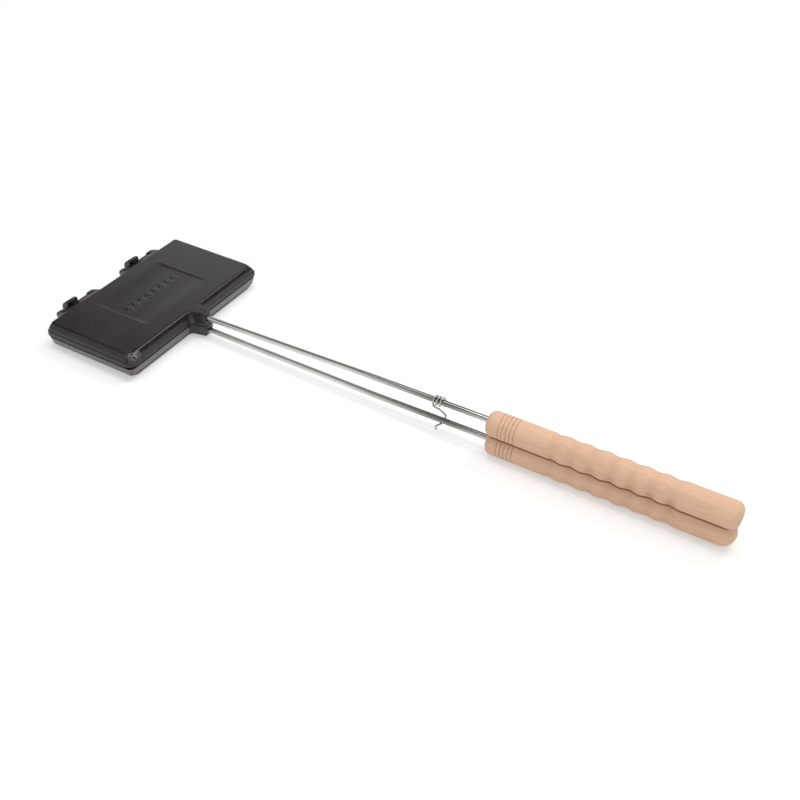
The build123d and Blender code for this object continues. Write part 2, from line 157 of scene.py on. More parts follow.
def inset_loop(loop: Sequence[Vector], amount: float) -> list[Vector]:
    """Moves a closed loop of 2-D points to its left by an amount, with mitred corners.

    Args:
        loop: The loop's points.
        amount: How far they move.

    Returns:
        The moved points.
    """
    moved = []
    for i, here in enumerate(loop):
        back = (here - loop[i - 1]).normalized()
        onward = (loop[(i + 1) % len(loop)] - here).normalized()
        left = Vector((-back.y, back.x))
        middle = (left + Vector((-onward.y, onward.x))).normalized()
        moved.append(here + middle * (amount / max(middle.dot(left), LEAST_MITRE)))
    return moved


def arc_points(centre: tuple[float, float], radius: float, start_deg: float, end_deg: float,
               steps: int) -> list[Vector]:
    """Points along an arc in a plane, ends included.

    Args:
        centre: The arc's centre.
        radius: Its radius.
        start_deg: The angle of its first point.
        end_deg: The angle of its last point.
        steps: The number of steps between them.

    Returns:
        The points.
    """
    angles = [math.radians(start_deg + (end_deg - start_deg) * k / steps)
              for k in range(steps + 1)]
    return [Vector((centre[0] + radius * math.cos(a), centre[1] + radius * math.sin(a)))
            for a in angles]


def circle_points(radius: float, sides: int, way: int = 1) -> list[Vector]:
    """Points round a circle in a plane, counter-clockwise, or clockwise where way is -1."""
    return arc_points((0, 0), radius, 0, way * 360 * (sides - 1) / sides, sides - 1)


class Form:
    """A closed mesh in the making, in millimetres, that becomes an object in metres."""

    def __init__(self) -> None:
        """Starts with an empty mesh."""
        self.mesh = bmesh.new()

    def ring(self, points: Iterable[Sequence[float]]) -> Ring:
        """Adds the vertices of one closed ring."""
        return [self.mesh.verts.new(point) for point in points]

    def skin(self, rings: Sequence[Ring]) -> None:
        """Joins each ring to the next one with quads.

        Args:
            rings: Rings with the same number of vertices.
        """
        for low, high in zip(rings, rings[1:]):
            for i in range(len(low)):
                j = (i + 1) % len(low)
                self.mesh.faces.new((low[i], low[j], high[j], high[i]))

    def cap(self, ring: Ring) -> None:
        """Closes a ring with one flat face."""
        self.mesh.faces.new(ring)

    def solid(self, rows: Iterable[Iterable[Sequence[float]]]) -> None:
        """Adds a closed form from the points of its rings, from one end to the other.

        Args:
            rows: The points of each ring.
        """
        rings = [self.ring(row) for row in rows]
        self.skin(rings)
        self.cap(rings[0])
        self.cap(rings[-1])

    def fill(self, *rings: Ring) -> None:
        """Fills the flat area between an outer ring and the rings inside it.

        Args:
            *rings: The outer ring and those inside it.
        """
        edges = []
        for ring in rings:
            for i, vertex in enumerate(ring):
                pair = (vertex, ring[(i + 1) % len(ring)])
                edges.append(self.mesh.edges.get(pair) or self.mesh.edges.new(pair))
        bmesh.ops.triangle_fill(self.mesh, use_beauty=True, use_dissolve=False, edges=edges)

    def prism(self, outline: Sequence[Vector], start: float, end: float, edge: float,
              holes: Sequence[Sequence[Vector]] = ()) -> None:
        """Adds a block along Y with softened edges.

        Args:
            outline: X and Z points of its section, counter-clockwise.
            start: Y of its near end.
            end: Y of its far end.
            edge: Rounding of the edges round its ends.
            holes: X and Z points of the holes through it, clockwise.
        """
        soft = edge * (1 - math.sqrt(0.5))
        stations = ((start, edge), (start + soft, soft), (start + edge, 0.0),
                    (end - edge, 0.0), (end - soft, soft), (end, edge))
        ends: list[list[Ring]] = [[], []]
        for loop in (outline, *holes):
            rings = [self.ring((p.x, y, p.y) for p in inset_loop(loop, inset))
                     for y, inset in stations]
            self.skin(rings)
            ends[0].append(rings[0])
            ends[1].append(rings[-1])
        for loops in ends:
            self.fill(*loops)

    def object(self, name: str) -> bpy.types.Object:
        """Makes the object, with outward normals, smooth faces and its place in its mesh.

        Args:
            name: The object's name.

        Returns:
            The object, in the scene.
        """
        bmesh.ops.recalc_face_normals(self.mesh, faces=self.mesh.faces[:])
        bmesh.ops.scale(self.mesh, vec=(MM, MM, MM), verts=self.mesh.verts[:])
        data = bpy.data.meshes.new(name)
        self.mesh.to_mesh(data)
        self.mesh.free()
        data.shade_smooth()
        return linked(name, data)


def linked(name: str, data: bpy.types.ID) -> bpy.types.Object:
    """Makes an object from its data and puts it in the scene.

    Args:
        name: The object's name.
        data: Its mesh, curve or the like.

    Returns:
        The object.
    """
    made = bpy.data.objects.new(name, data)
    bpy.context.scene.collection.objects.link(made)
    return made


def settle(piece: bpy.types.Object, sharp_deg: float | None = None) -> bpy.types.Object:
    """Turns a piece and its modifiers into one plain mesh object of the same name.

    Args:
        piece: A mesh or curve object.
        sharp_deg: Edges that turn by more than this stay crisp, where it is given.

    Returns:
        The object that now stands for the piece.
    """
    evaluated = piece.evaluated_get(bpy.context.evaluated_depsgraph_get())
    data = bpy.data.meshes.new_from_object(evaluated)
    name = piece.name
    bpy.data.objects.remove(piece)
    data.name = name
    if sharp_deg is not None:
        data.set_sharp_from_angle(angle=math.radians(sharp_deg))
    return linked(name, data)


class Wiring:
    """Adds nodes to one tree and joins them."""

    def __init__(self, tree: bpy.types.NodeTree) -> None:
        """Keeps the tree."""
        self.tree = tree

    def feed(self, socket: bpy.types.NodeSocket, value: Value) -> None:
        """Joins a socket to another one, or sets its value.

        Args:
            socket: An input.
            value: What goes into it.
        """
        if isinstance(value, bpy.types.NodeSocket):
            self.tree.links.new(value, socket)
        else:
            socket.default_value = value

    def add(self, kind: str, values: dict[str | int, Value] | None = None,
            **settings: object) -> bpy.types.Node:
        """Adds a node.

        Args:
            kind: The node's type.
            values: What goes into its inputs, by name or place.
            **settings: The node's own settings.

        Returns:
            The new node.
        """
        node = self.tree.nodes.new(kind)
        for name, setting in settings.items():
            setattr(node, name, setting)
        for key, value in (values or {}).items():
            self.feed(node.inputs[key], value)
        return node

    def math(self, operation: str, *terms: Value) -> bpy.types.NodeSocket:
        """A number worked out from others."""
        values = dict(enumerate(terms))
        return self.add("ShaderNodeMath", values, operation=operation).outputs[0]

    def ramp(self, value: Value, start: Value, end: Value, low: float = 0.0,
             high: float = 1.0, smooth: bool = False) -> bpy.types.NodeSocket:
        """A number that goes from low to high while another one goes from start to end.

        Args:
            value: The other number.
            start: Where it starts.
            end: Where it ends.
            low: The result at the start.
            high: The result at the end.
            smooth: Whether the ends are eased.

        Returns:
            The number.
        """
        return self.add("ShaderNodeMapRange", {
            "Value": value, "From Min": start, "From Max": end, "To Min": low,
            "To Max": high}, interpolation_type="SMOOTHSTEP" if smooth else "LINEAR").outputs[0]

    def off_nearest(self, place: Value, first: Value, pitch: Value,
                    last: Value) -> bpy.types.NodeSocket:
        """The distance from a place to the nearest feature of an even row.

        Args:
            place: The place, along the row.
            first: Where the first feature is.
            pitch: The distance between the features.
            last: The last feature's number, counted from 0.

        Returns:
            The distance, in the unit of the place.
        """
        share = self.math("DIVIDE", self.math("SUBTRACT", place, first), pitch)
        nearest = self.math("MINIMUM", self.math("MAXIMUM", self.math("ROUND", share), 0.0),
                            last)
        return self.math("ABSOLUTE", self.math("MULTIPLY",
                                               self.math("SUBTRACT", share, nearest), pitch))

    def blend(self, share: Value, first: Value, second: Value) -> bpy.types.NodeSocket:
        """A colour between two others, which are sockets or red, green and blue.

        Args:
            share: How much of the second one shows.
            first: The first colour.
            second: The second colour.

        Returns:
            The colour.
        """
        node = self.add("ShaderNodeMix", {0: share}, data_type="RGBA")
        for place, colour in ((6, first), (7, second)):
            joined = isinstance(colour, bpy.types.NodeSocket)
            self.feed(node.inputs[place], colour if joined else (*colour, 1.0))
        return node.outputs[2]


def emptied(owner: bpy.types.Material | bpy.types.World) -> bpy.types.NodeTree:
    """Gives a material or world an empty node tree.

    Args:
        owner: The material or world.

    Returns:
        Its tree.
    """
    owner.use_nodes = True
    owner.node_tree.nodes.clear()
    return owner.node_tree


def seen_directly(w: Wiring) -> bpy.types.NodeSocket:
    """1 where the camera, gloss or glass looks, and 0 where light bounces.

    Args:
        w: The wiring of the tree that asks.

    Returns:
        The number.
    """
    path = w.add("ShaderNodeLightPath")
    return w.math("MAXIMUM", path.outputs["Is Camera Ray"], w.math(
        "MAXIMUM", path.outputs["Is Glossy Ray"], path.outputs["Is Transmission Ray"]))


class GeometryTree(Wiring):
    """A Geometry Nodes tree with named inputs."""

    def __init__(self, name: str) -> None:
        """Makes the tree with a geometry input and output.

        Args:
            name: The tree's name.
        """
        tree = bpy.data.node_groups.new(name, "GeometryNodeTree")
        super().__init__(tree)
        tree.interface.new_socket("Geometry", in_out="INPUT",
                                  socket_type="NodeSocketGeometry")
        tree.interface.new_socket("Geometry", in_out="OUTPUT",
                                  socket_type="NodeSocketGeometry")
        self.source = tree.nodes.new("NodeGroupInput")

    def size(self, name: str, kind: str = "NodeSocketFloat") -> bpy.types.NodeSocket:
        """Adds a named input and gives its socket inside the tree."""
        self.tree.interface.new_socket(name, in_out="INPUT", socket_type=kind)
        return self.source.outputs[name]

    def finish(self, geometry: bpy.types.NodeSocket, material: bpy.types.NodeSocket) -> None:
        """Ends the tree with real geometry, smooth faces and the material.

        Args:
            geometry: What the tree has made.
            material: The material's socket.
        """
        real = self.add("GeometryNodeRealizeInstances", {"Geometry": geometry})
        smooth = self.add("GeometryNodeSetShadeSmooth", {"Geometry": real.outputs[0]})
        dressed = self.add("GeometryNodeSetMaterial",
                           {"Geometry": smooth.outputs[0], "Material": material})
        self.add("NodeGroupOutput", {0: dressed.outputs[0]})

    def put_on(self, piece: bpy.types.Object, values: dict[str, Value]) -> None:
        """Adds the tree to a piece as a modifier with these values for its inputs.

        Args:
            piece: The object.
            values: A value for each input by name.
        """
        modifier = piece.modifiers.new(self.tree.name, "NODES")
        modifier.node_group = self.tree
        for item in self.tree.interface.items_tree:
            if item.in_out == "INPUT" and item.name in values:
                modifier[item.identifier] = values[item.name]


@dataclass(frozen=True)
class Noise:
    """How a noise is drawn out along the axes, its fineness and the range of it that counts."""

    stretch: tuple[float, float, float]
    scale: float
    detail: float = 3.0
    low: float = 0.3
    high: float = 0.7


def streak_group() -> bpy.types.NodeTree:
    """Makes the node group of a noise that can be drawn out along an axis, from 0 to 1.

    Returns:
        The group.
    """
    tree = bpy.data.node_groups.new("streaks", "ShaderNodeTree")
    for name, kind in (("Vector", "NodeSocketVector"), ("Stretch", "NodeSocketVector"),
                       ("Scale", "NodeSocketFloat"), ("Detail", "NodeSocketFloat"),
                       ("Low", "NodeSocketFloat"), ("High", "NodeSocketFloat")):
        tree.interface.new_socket(name, in_out="INPUT", socket_type=kind)
    tree.interface.new_socket("Value", in_out="OUTPUT", socket_type="NodeSocketFloat")
    w = Wiring(tree)
    source = tree.nodes.new("NodeGroupInput")
    drawn = w.add("ShaderNodeVectorMath", {0: source.outputs["Vector"],
                                           1: source.outputs["Stretch"]},
                  operation="MULTIPLY")
    noise = w.add("ShaderNodeTexNoise", {"Vector": drawn.outputs[0],
                                         "Scale": source.outputs["Scale"],
                                         "Detail": source.outputs["Detail"],
                                         "Roughness": 0.6})
    spread = w.ramp(noise.outputs[0], source.outputs["Low"], source.outputs["High"])
    w.add("NodeGroupOutput", {0: spread})
    return tree


class Finish(Wiring):
    """A material in the making round one Principled shader."""

    def __init__(self, name: str, noise_group: bpy.types.NodeTree) -> None:
        """Makes the material with its shader and its coordinates.

        Args:
            name: The material's name.
            noise_group: The node group of a drawn-out noise.
        """
        self.material = bpy.data.materials.new(name)
        super().__init__(emptied(self.material))
        self.noise_group = noise_group
        self.shader = self.add("ShaderNodeBsdfPrincipled")
        self.add("ShaderNodeOutputMaterial", {"Surface": self.shader.outputs[0]})
        coordinates = self.add("ShaderNodeTexCoord")
        self.place = coordinates.outputs["Object"]
        self.facing = coordinates.outputs["Normal"]

    def at(self, axis: int) -> bpy.types.NodeSocket:
        """The place along an axis, in millimetres."""
        parts = self.add("ShaderNodeSeparateXYZ", {0: self.place})
        return self.math("DIVIDE", parts.outputs[axis], MM)

    def streaks(self, noise: Noise) -> bpy.types.NodeSocket:
        """A drawn-out noise, from 0 to 1.

        Args:
            noise: How the noise is drawn out and spread.

        Returns:
            The noise.
        """
        return self.add("ShaderNodeGroup", {
            "Vector": self.place, "Stretch": noise.stretch, "Scale": noise.scale,
            "Detail": noise.detail, "Low": noise.low, "High": noise.high},
            node_tree=self.noise_group).outputs[0]

    def set(self, **values: Value) -> None:
        """Sets the shader's inputs, with _ for each space in their names."""
        for name, value in values.items():
            self.feed(self.shader.inputs[name.replace("_", " ")], value)

    def relief(self, height: bpy.types.NodeSocket, depth: float,
               under: bpy.types.NodeSocket | None = None) -> bpy.types.NodeSocket:
        """A normal from a height with its depth in millimetres, on top of another normal.

        Args:
            height: The height, from 0 to 1.
            depth: Its depth.
            under: The normal under it, where there is one.

        Returns:
            The normal.
        """
        values: dict[str | int, Value] = {"Height": height, "Distance": depth * MM}
        if under is not None:
            values["Normal"] = under
        return self.add("ShaderNodeBump", values).outputs[0]


@dataclass(frozen=True)
class CoatedIron:
    """Cast iron with a baked-on black-brown coating, satin, with a fine cast skin.

    Lines run down its steep sides. A light colour is painted in streaks on one corner of the
    lid as a painted highlight, and the lower rim is lightened in lines as a painted reflection.
    """

    deep: Colour = (0.0115, 0.0070, 0.0088)
    thin: Colour = (0.0175, 0.0108, 0.0132)
    patches: Noise = Noise((1, 1, 1), 38.0, 4.0, 0.35, 0.65)
    gloss: tuple[float, float] = (0.22, 0.31)
    ior: float = 1.50
    skin: Noise = Noise((1, 1, 1), 1500.0, 4.0, 0.2, 0.8)
    skin_depth: float = 0.03
    drags: Noise = Noise((1, 1, 0.12), 700.0, 2.0, 0.35, 0.65)
    drag_depth: float = 0.05
    drag_steepness: tuple[float, float] = (0.85, 0.6)
    # Painted highlight: a light colour in streaks near one corner of the lid, with deeper drag
    # lines there.
    scraped: Colour = (0.34, 0.32, 0.33)
    scrape_centre: tuple[float, float, float] = (53.5, -94.5, 26.5)
    scrape_reach: tuple[float, float] = (9.5, 3.5)
    scrape_deepening: float = 2.2
    # Painted reflection: the lower rim lightened in lines, as where it mirrors the floor.
    rubbed: Colour = (0.150, 0.138, 0.145)
    rub_lines: Noise = Noise((0.04, 0.04, 1), 800.0, 2.0, 0.3, 0.62)
    rub_least: float = 0.3
    rub_bottom: tuple[float, float] = (5.0, 5.8)
    rub_top: tuple[float, float] = (13.7, 13.2)
    rim_half: tuple[float, float] = (54.5, 101.5)
    neck_half: float = 15.0

    def material(self, noise_group: bpy.types.NodeTree) -> bpy.types.Material:
        """Wires the finish.

        Args:
            noise_group: The node group of a drawn-out noise.

        Returns:
            The material.
        """
        f = Finish("coated_iron", noise_group)
        patches, drags = f.streaks(self.patches), f.streaks(self.drags)
        up = f.add("ShaderNodeSeparateXYZ", {0: f.facing}).outputs[2]
        steep = f.ramp(f.math("ABSOLUTE", up), *self.drag_steepness)
        lines = f.math("MULTIPLY", drags, steep)
        # Painted highlight: light streaks of colour round the lid's near-front corner.
        centre = tuple(v * MM for v in self.scrape_centre)
        off = f.add("ShaderNodeVectorMath", {0: f.place, 1: centre},
                    operation="DISTANCE").outputs["Value"]
        near = f.ramp(off, *(reach * MM for reach in self.scrape_reach))
        coat = f.blend(patches, self.deep, self.thin)
        # Painted reflection on the lower rim.
        coat = f.blend(self.rim_mask(f), coat, self.rubbed)
        glint_streaks = f.math("MULTIPLY", f.math("MULTIPLY", drags, lines), near)
        deepening = f.math("MULTIPLY_ADD", near, self.scrape_deepening, 1.0)
        skin = f.relief(f.streaks(self.skin), self.skin_depth)
        low, high = self.gloss
        f.set(Base_Color=f.blend(glint_streaks, coat, self.scraped),
              Roughness=f.math("MULTIPLY_ADD", patches, high - low, low),
              IOR=self.ior,
              Normal=f.relief(f.math("MULTIPLY", lines, deepening), self.drag_depth,
                              under=skin))
        return f.material

    def rim_mask(self, f: Finish) -> bpy.types.NodeSocket:
        """Where the lower rim gets its painted reflection, in lines along it, from 0 to 1.

        Args:
            f: The finish in the making.

        Returns:
            The mask.
        """
        across = [f.math("ABSOLUTE", f.at(axis)) for axis in (0, 1)]
        height = f.at(2)
        mask = f.math("MAXIMUM", *(f.math("GREATER_THAN", way, half)
                                   for way, half in zip(across, self.rim_half)))
        for part in (f.math("GREATER_THAN", across[1], self.neck_half),
                     f.ramp(height, *self.rub_bottom), f.ramp(height, *self.rub_top),
                     f.math("MULTIPLY_ADD", f.streaks(self.rub_lines), 1 - self.rub_least,
                            self.rub_least)):
            mask = f.math("MULTIPLY", mask, part)
        return mask


@dataclass(frozen=True)
class DrawnSteel:
    """Steel rod or wire with fine lines along its length.

    It can carry painted shade along a span of X, which fades again towards the grips.
    """

    name: str
    colour: Colour = (0.67, 0.66, 0.64)
    shade: Colour = (0.54, 0.53, 0.51)
    roughness: float = 0.13
    spread: float = 0.09
    lines: Noise = Noise((0.02, 1, 1), 2600.0)
    line_depth: float = 0.006
    handling: Noise = Noise((0.35, 1, 1), 60.0, 3.0, 0.35, 0.7)
    # Painted shade: a darker colour along a span of X, fading again towards the grips.
    tarnish: Colour = (0.25, 0.245, 0.23)
    tarnish_span: tuple[float, float] | None = None
    wiped_span: tuple[float, float] = (372.0, 402.0)
    wiped_left: float = 0.35

    def material(self, noise_group: bpy.types.NodeTree) -> bpy.types.Material:
        """Wires the finish.

        Args:
            noise_group: The node group of a drawn-out noise.

        Returns:
            The material.
        """
        f = Finish(self.name, noise_group)
        lines, handled = f.streaks(self.lines), f.streaks(self.handling)
        steel = f.blend(f.math("MULTIPLY", lines, handled), self.colour, self.shade)
        # Painted shade: darker along the span, less so towards the grips.
        if self.tarnish_span is not None:
            along = f.at(0)
            left = f.ramp(along, *self.wiped_span, low=1.0, high=self.wiped_left)
            shaded = f.math("MULTIPLY", f.ramp(along, *self.tarnish_span), left)
            steel = f.blend(shaded, steel, self.tarnish)
        f.set(Base_Color=steel,
              Metallic=1.0,
              Roughness=f.math("MULTIPLY_ADD", handled, self.spread, self.roughness),
              Normal=f.relief(lines, self.line_depth))
        return f.material


@dataclass(frozen=True)
class Beech:
    """Pale unvarnished beech: soft growth rings, fine fibres and short dark flecks, with shade
    painted into the ring grooves, the finger hollows and the edges of the flats at the seam.

    Ring grooves and finger hollows are rows along X: the first one's place, the pitch, and
    the last one's number, counted from 0.
    """

    pale: Colour = (0.775, 0.515, 0.355)
    warm: Colour = (0.690, 0.430, 0.285)
    tone_shares: tuple[float, float, float] = (0.35, 0.25, 0.40)
    heart: tuple[float, float, float] = (0.0, 0.055, -0.075)
    heart_lean: tuple[float, float, float] = (0.0, 0.02, 0.03)
    growth_scale: float = 95.0
    growth_distortion: float = 2.2
    growth_detail: tuple[float, float] = (2.0, 0.35)
    fibres: Noise = Noise((0.03, 1, 1), 1500.0, 4.0)
    fibre_depth: float = 0.02
    clouds: Noise = Noise((0.25, 1, 1), 45.0)
    fleck: Colour = (0.400, 0.240, 0.150)
    flecks: Noise = Noise((0.09, 1, 1), 1900.0, 1.0, 0.66, 0.74)
    fleck_share: float = 0.5
    fleck_depth: float = 0.04
    roughness: float = 0.58
    spread: float = 0.12
    specular: float = 0.35
    groove: Colour = (0.360, 0.195, 0.125)
    groove_row: tuple[float, float, float] = (424.4, 4.0, 4.0)
    groove_half: tuple[float, float] = (0.70, 0.25)
    groove_share: float = 0.4
    # Painted shade in the finger hollows, strongest in a band at one height.
    worn: Colour = (0.500, 0.270, 0.170)
    hollow_row: tuple[float, float, float] = (479.0, 18.9, 6.0)
    hollow_half: float = 7.938
    worn_share: float = 0.55
    worn_height: float = 7.0
    worn_reach: tuple[float, float] = (7.5, 2.0)
    worn_least: float = 0.3
    # Painted shade: a dark line along the seam between the two grips.
    seam: Colour = (0.240, 0.115, 0.060)
    seam_z: float = 16.5
    seam_half: tuple[float, float] = (1.3, 0.7)
    seam_share: float = 0.78
    seam_outside: tuple[float, float] = (3.5, 5.0)

    def material(self, noise_group: bpy.types.NodeTree) -> bpy.types.Material:
        """Wires the finish.

        Args:
            noise_group: The node group of a drawn-out noise.

        Returns:
            The material.
        """
        f = Finish("beech", noise_group)
        moved = f.add("ShaderNodeMapping", {"Vector": f.place, "Location": self.heart,
                                            "Rotation": self.heart_lean}).outputs[0]
        detail, detail_scale = self.growth_detail
        growth = f.add("ShaderNodeTexWave", {
            "Vector": moved, "Scale": self.growth_scale,
            "Distortion": self.growth_distortion, "Detail": detail,
            "Detail Scale": detail_scale},
            wave_type="RINGS", rings_direction="X").outputs["Fac"]
        fibres, clouds = f.streaks(self.fibres), f.streaks(self.clouds)
        flecks = f.streaks(self.flecks)
        tone: Value = 0.0
        for part, share in zip((growth, fibres, clouds), self.tone_shares):
            tone = f.math("MULTIPLY_ADD", part, share, tone)
        wood = f.blend(tone, self.pale, self.warm)
        # Painted shade goes into the hollows, the ring grooves and along the seam; the flecks
        # are the wood's own.
        for mask, colour in ((self.hollow_mask(f, clouds), self.worn),
                             (self.groove_mask(f), self.groove),
                             (self.seam_mask(f), self.seam),
                             (f.math("MULTIPLY", flecks, self.fleck_share), self.fleck)):
            wood = f.blend(mask, wood, colour)
        f.set(Base_Color=wood,
              Roughness=f.math("MULTIPLY_ADD", fibres, self.spread, self.roughness),
              Specular_IOR_Level=self.specular,
              Normal=f.relief(flecks, -self.fleck_depth,
                              under=f.relief(fibres, self.fibre_depth)))
        return f.material

    def groove_mask(self, f: Finish) -> bpy.types.NodeSocket:
        """Where dirt and shade sit in the ring grooves, from 0 to 1."""
        return f.ramp(f.off_nearest(f.at(0), *self.groove_row), *self.groove_half,
                      high=self.groove_share)

    def hollow_mask(self, f: Finish, clouds: bpy.types.NodeSocket) -> bpy.types.NodeSocket:
        """Painted shade in the finger hollows, strongest in a band at one height, from 0 to 1.

        Args:
            f: The finish in the making.
            clouds: A slow noise along the grain.

        Returns:
            The mask.
        """
        near = f.ramp(f.off_nearest(f.at(0), *self.hollow_row), self.hollow_half, 0.0,
                      smooth=True)
        off = f.math("ABSOLUTE", f.math("SUBTRACT", f.at(2), self.seam_z + self.worn_height))
        shade_band = f.ramp(off, *self.worn_reach, low=self.worn_least, smooth=True)
        share = f.math("MULTIPLY_ADD", clouds, self.worn_share, self.worn_share / 2)
        return f.math("MULTIPLY", near, f.math("MULTIPLY", shade_band, share))

    def seam_mask(self, f: Finish) -> bpy.types.NodeSocket:
        """Painted shade along the edges of the flats between the grips, from 0 to 1.

        Args:
            f: The finish in the making.

        Returns:
            The mask.
        """
        off = f.math("ABSOLUTE", f.math("SUBTRACT", f.at(2), self.seam_z))
        close = f.ramp(off, *self.seam_half, high=self.seam_share)
        outside = f.ramp(f.math("ABSOLUTE", f.at(1)), *self.seam_outside)
        return f.math("MULTIPLY", close, outside)


class Finishes:
    """Every finish of the iron."""

    def __init__(self) -> None:
        """Makes the materials."""
        noise_group = streak_group()
        self.iron = CoatedIron().material(noise_group)
        # The rods carry painted shade between 250 and 350 mm along X.
        self.rod = DrawnSteel("drawn_rod", tarnish_span=(250.0, 350.0)).material(noise_group)
        self.pin = DrawnSteel("blued_pin", roughness=0.32, lines=Noise((1, 0.03, 1), 2600.0),
                              colour=(0.15, 0.14, 0.14),
                              shade=(0.09, 0.08, 0.08)).material(noise_group)
        self.wire = DrawnSteel("spring_wire", roughness=0.14, lines=Noise((1, 1, 1), 900.0),
                               colour=(0.56, 0.55, 0.54), shade=(0.42, 0.41, 0.40),
                               line_depth=0.004).material(noise_group)
        self.wood = Beech().material(noise_group)


class CopiesOnGrid(GeometryTree):
    """Adds copies of one form to a piece, on a flat grid."""

    def __init__(self) -> None:
        """Wires the tree."""
        super().__init__("copies_on_grid")
        form = self.size("Form", "NodeSocketObject")
        rows, columns = (self.size(n, "NodeSocketInt") for n in ("Rows", "Columns"))
        pitch_x, pitch_y = self.size("Pitch X"), self.size("Pitch Y")
        centre = self.size("Centre", "NodeSocketVector")
        material = self.size("Material", "NodeSocketMaterial")
        spans = [self.math("MULTIPLY", self.math("SUBTRACT", count, 1.0), pitch)
                 for count, pitch in ((rows, pitch_x), (columns, pitch_y))]
        grid = self.add("GeometryNodeMeshGrid", {"Size X": spans[0], "Size Y": spans[1],
                                                 "Vertices X": rows, "Vertices Y": columns})
        moved = self.add("GeometryNodeTransform", {"Geometry": grid.outputs[0],
                                                   "Translation": centre})
        shape = self.add("GeometryNodeObjectInfo", {"Object": form})
        copies = self.add("GeometryNodeInstanceOnPoints",
                          {"Points": moved.outputs[0], "Instance": shape.outputs["Geometry"]})
        joined = self.add("GeometryNodeJoinGeometry")
        self.feed(joined.inputs[0], copies.outputs[0])
        self.feed(joined.inputs[0], self.source.outputs["Geometry"])
        self.finish(joined.outputs[0], material)


@dataclass(frozen=True)
class FlankProfile:
    """The outside section of a plate on one side, from the parting plane to the face.

    Insets are from the head's outline and levels from the parting plane.
    """

    height: float
    face_inset: float
    rim_height: float
    rim_step: float
    face_round: float
    bulge: float

    def point(self, share: float) -> tuple[float, float]:
        """The inset and level on the flank and its rounding.

        Args:
            share: 0 at the flank's foot, 1 where the rounding starts, 2 where it ends.

        Returns:
            The inset and the level.
        """
        run, rise = self.face_inset - self.rim_step, self.height - self.rim_height
        angle = math.atan2(rise, run)
        cut = self.face_round * math.tan(angle / 2)
        straight = math.hypot(run, rise) - cut
        if share <= 1:
            along = straight * share
            out = self.bulge * 4 * share * (1 - share)
            return (self.rim_step + along * math.cos(angle) - out * math.sin(angle),
                    self.rim_height + along * math.sin(angle) + out * math.cos(angle))
        left = angle * (2 - share)
        return (self.face_inset + cut - self.face_round * math.sin(left),
                self.height - self.face_round * (1 - math.cos(left)))


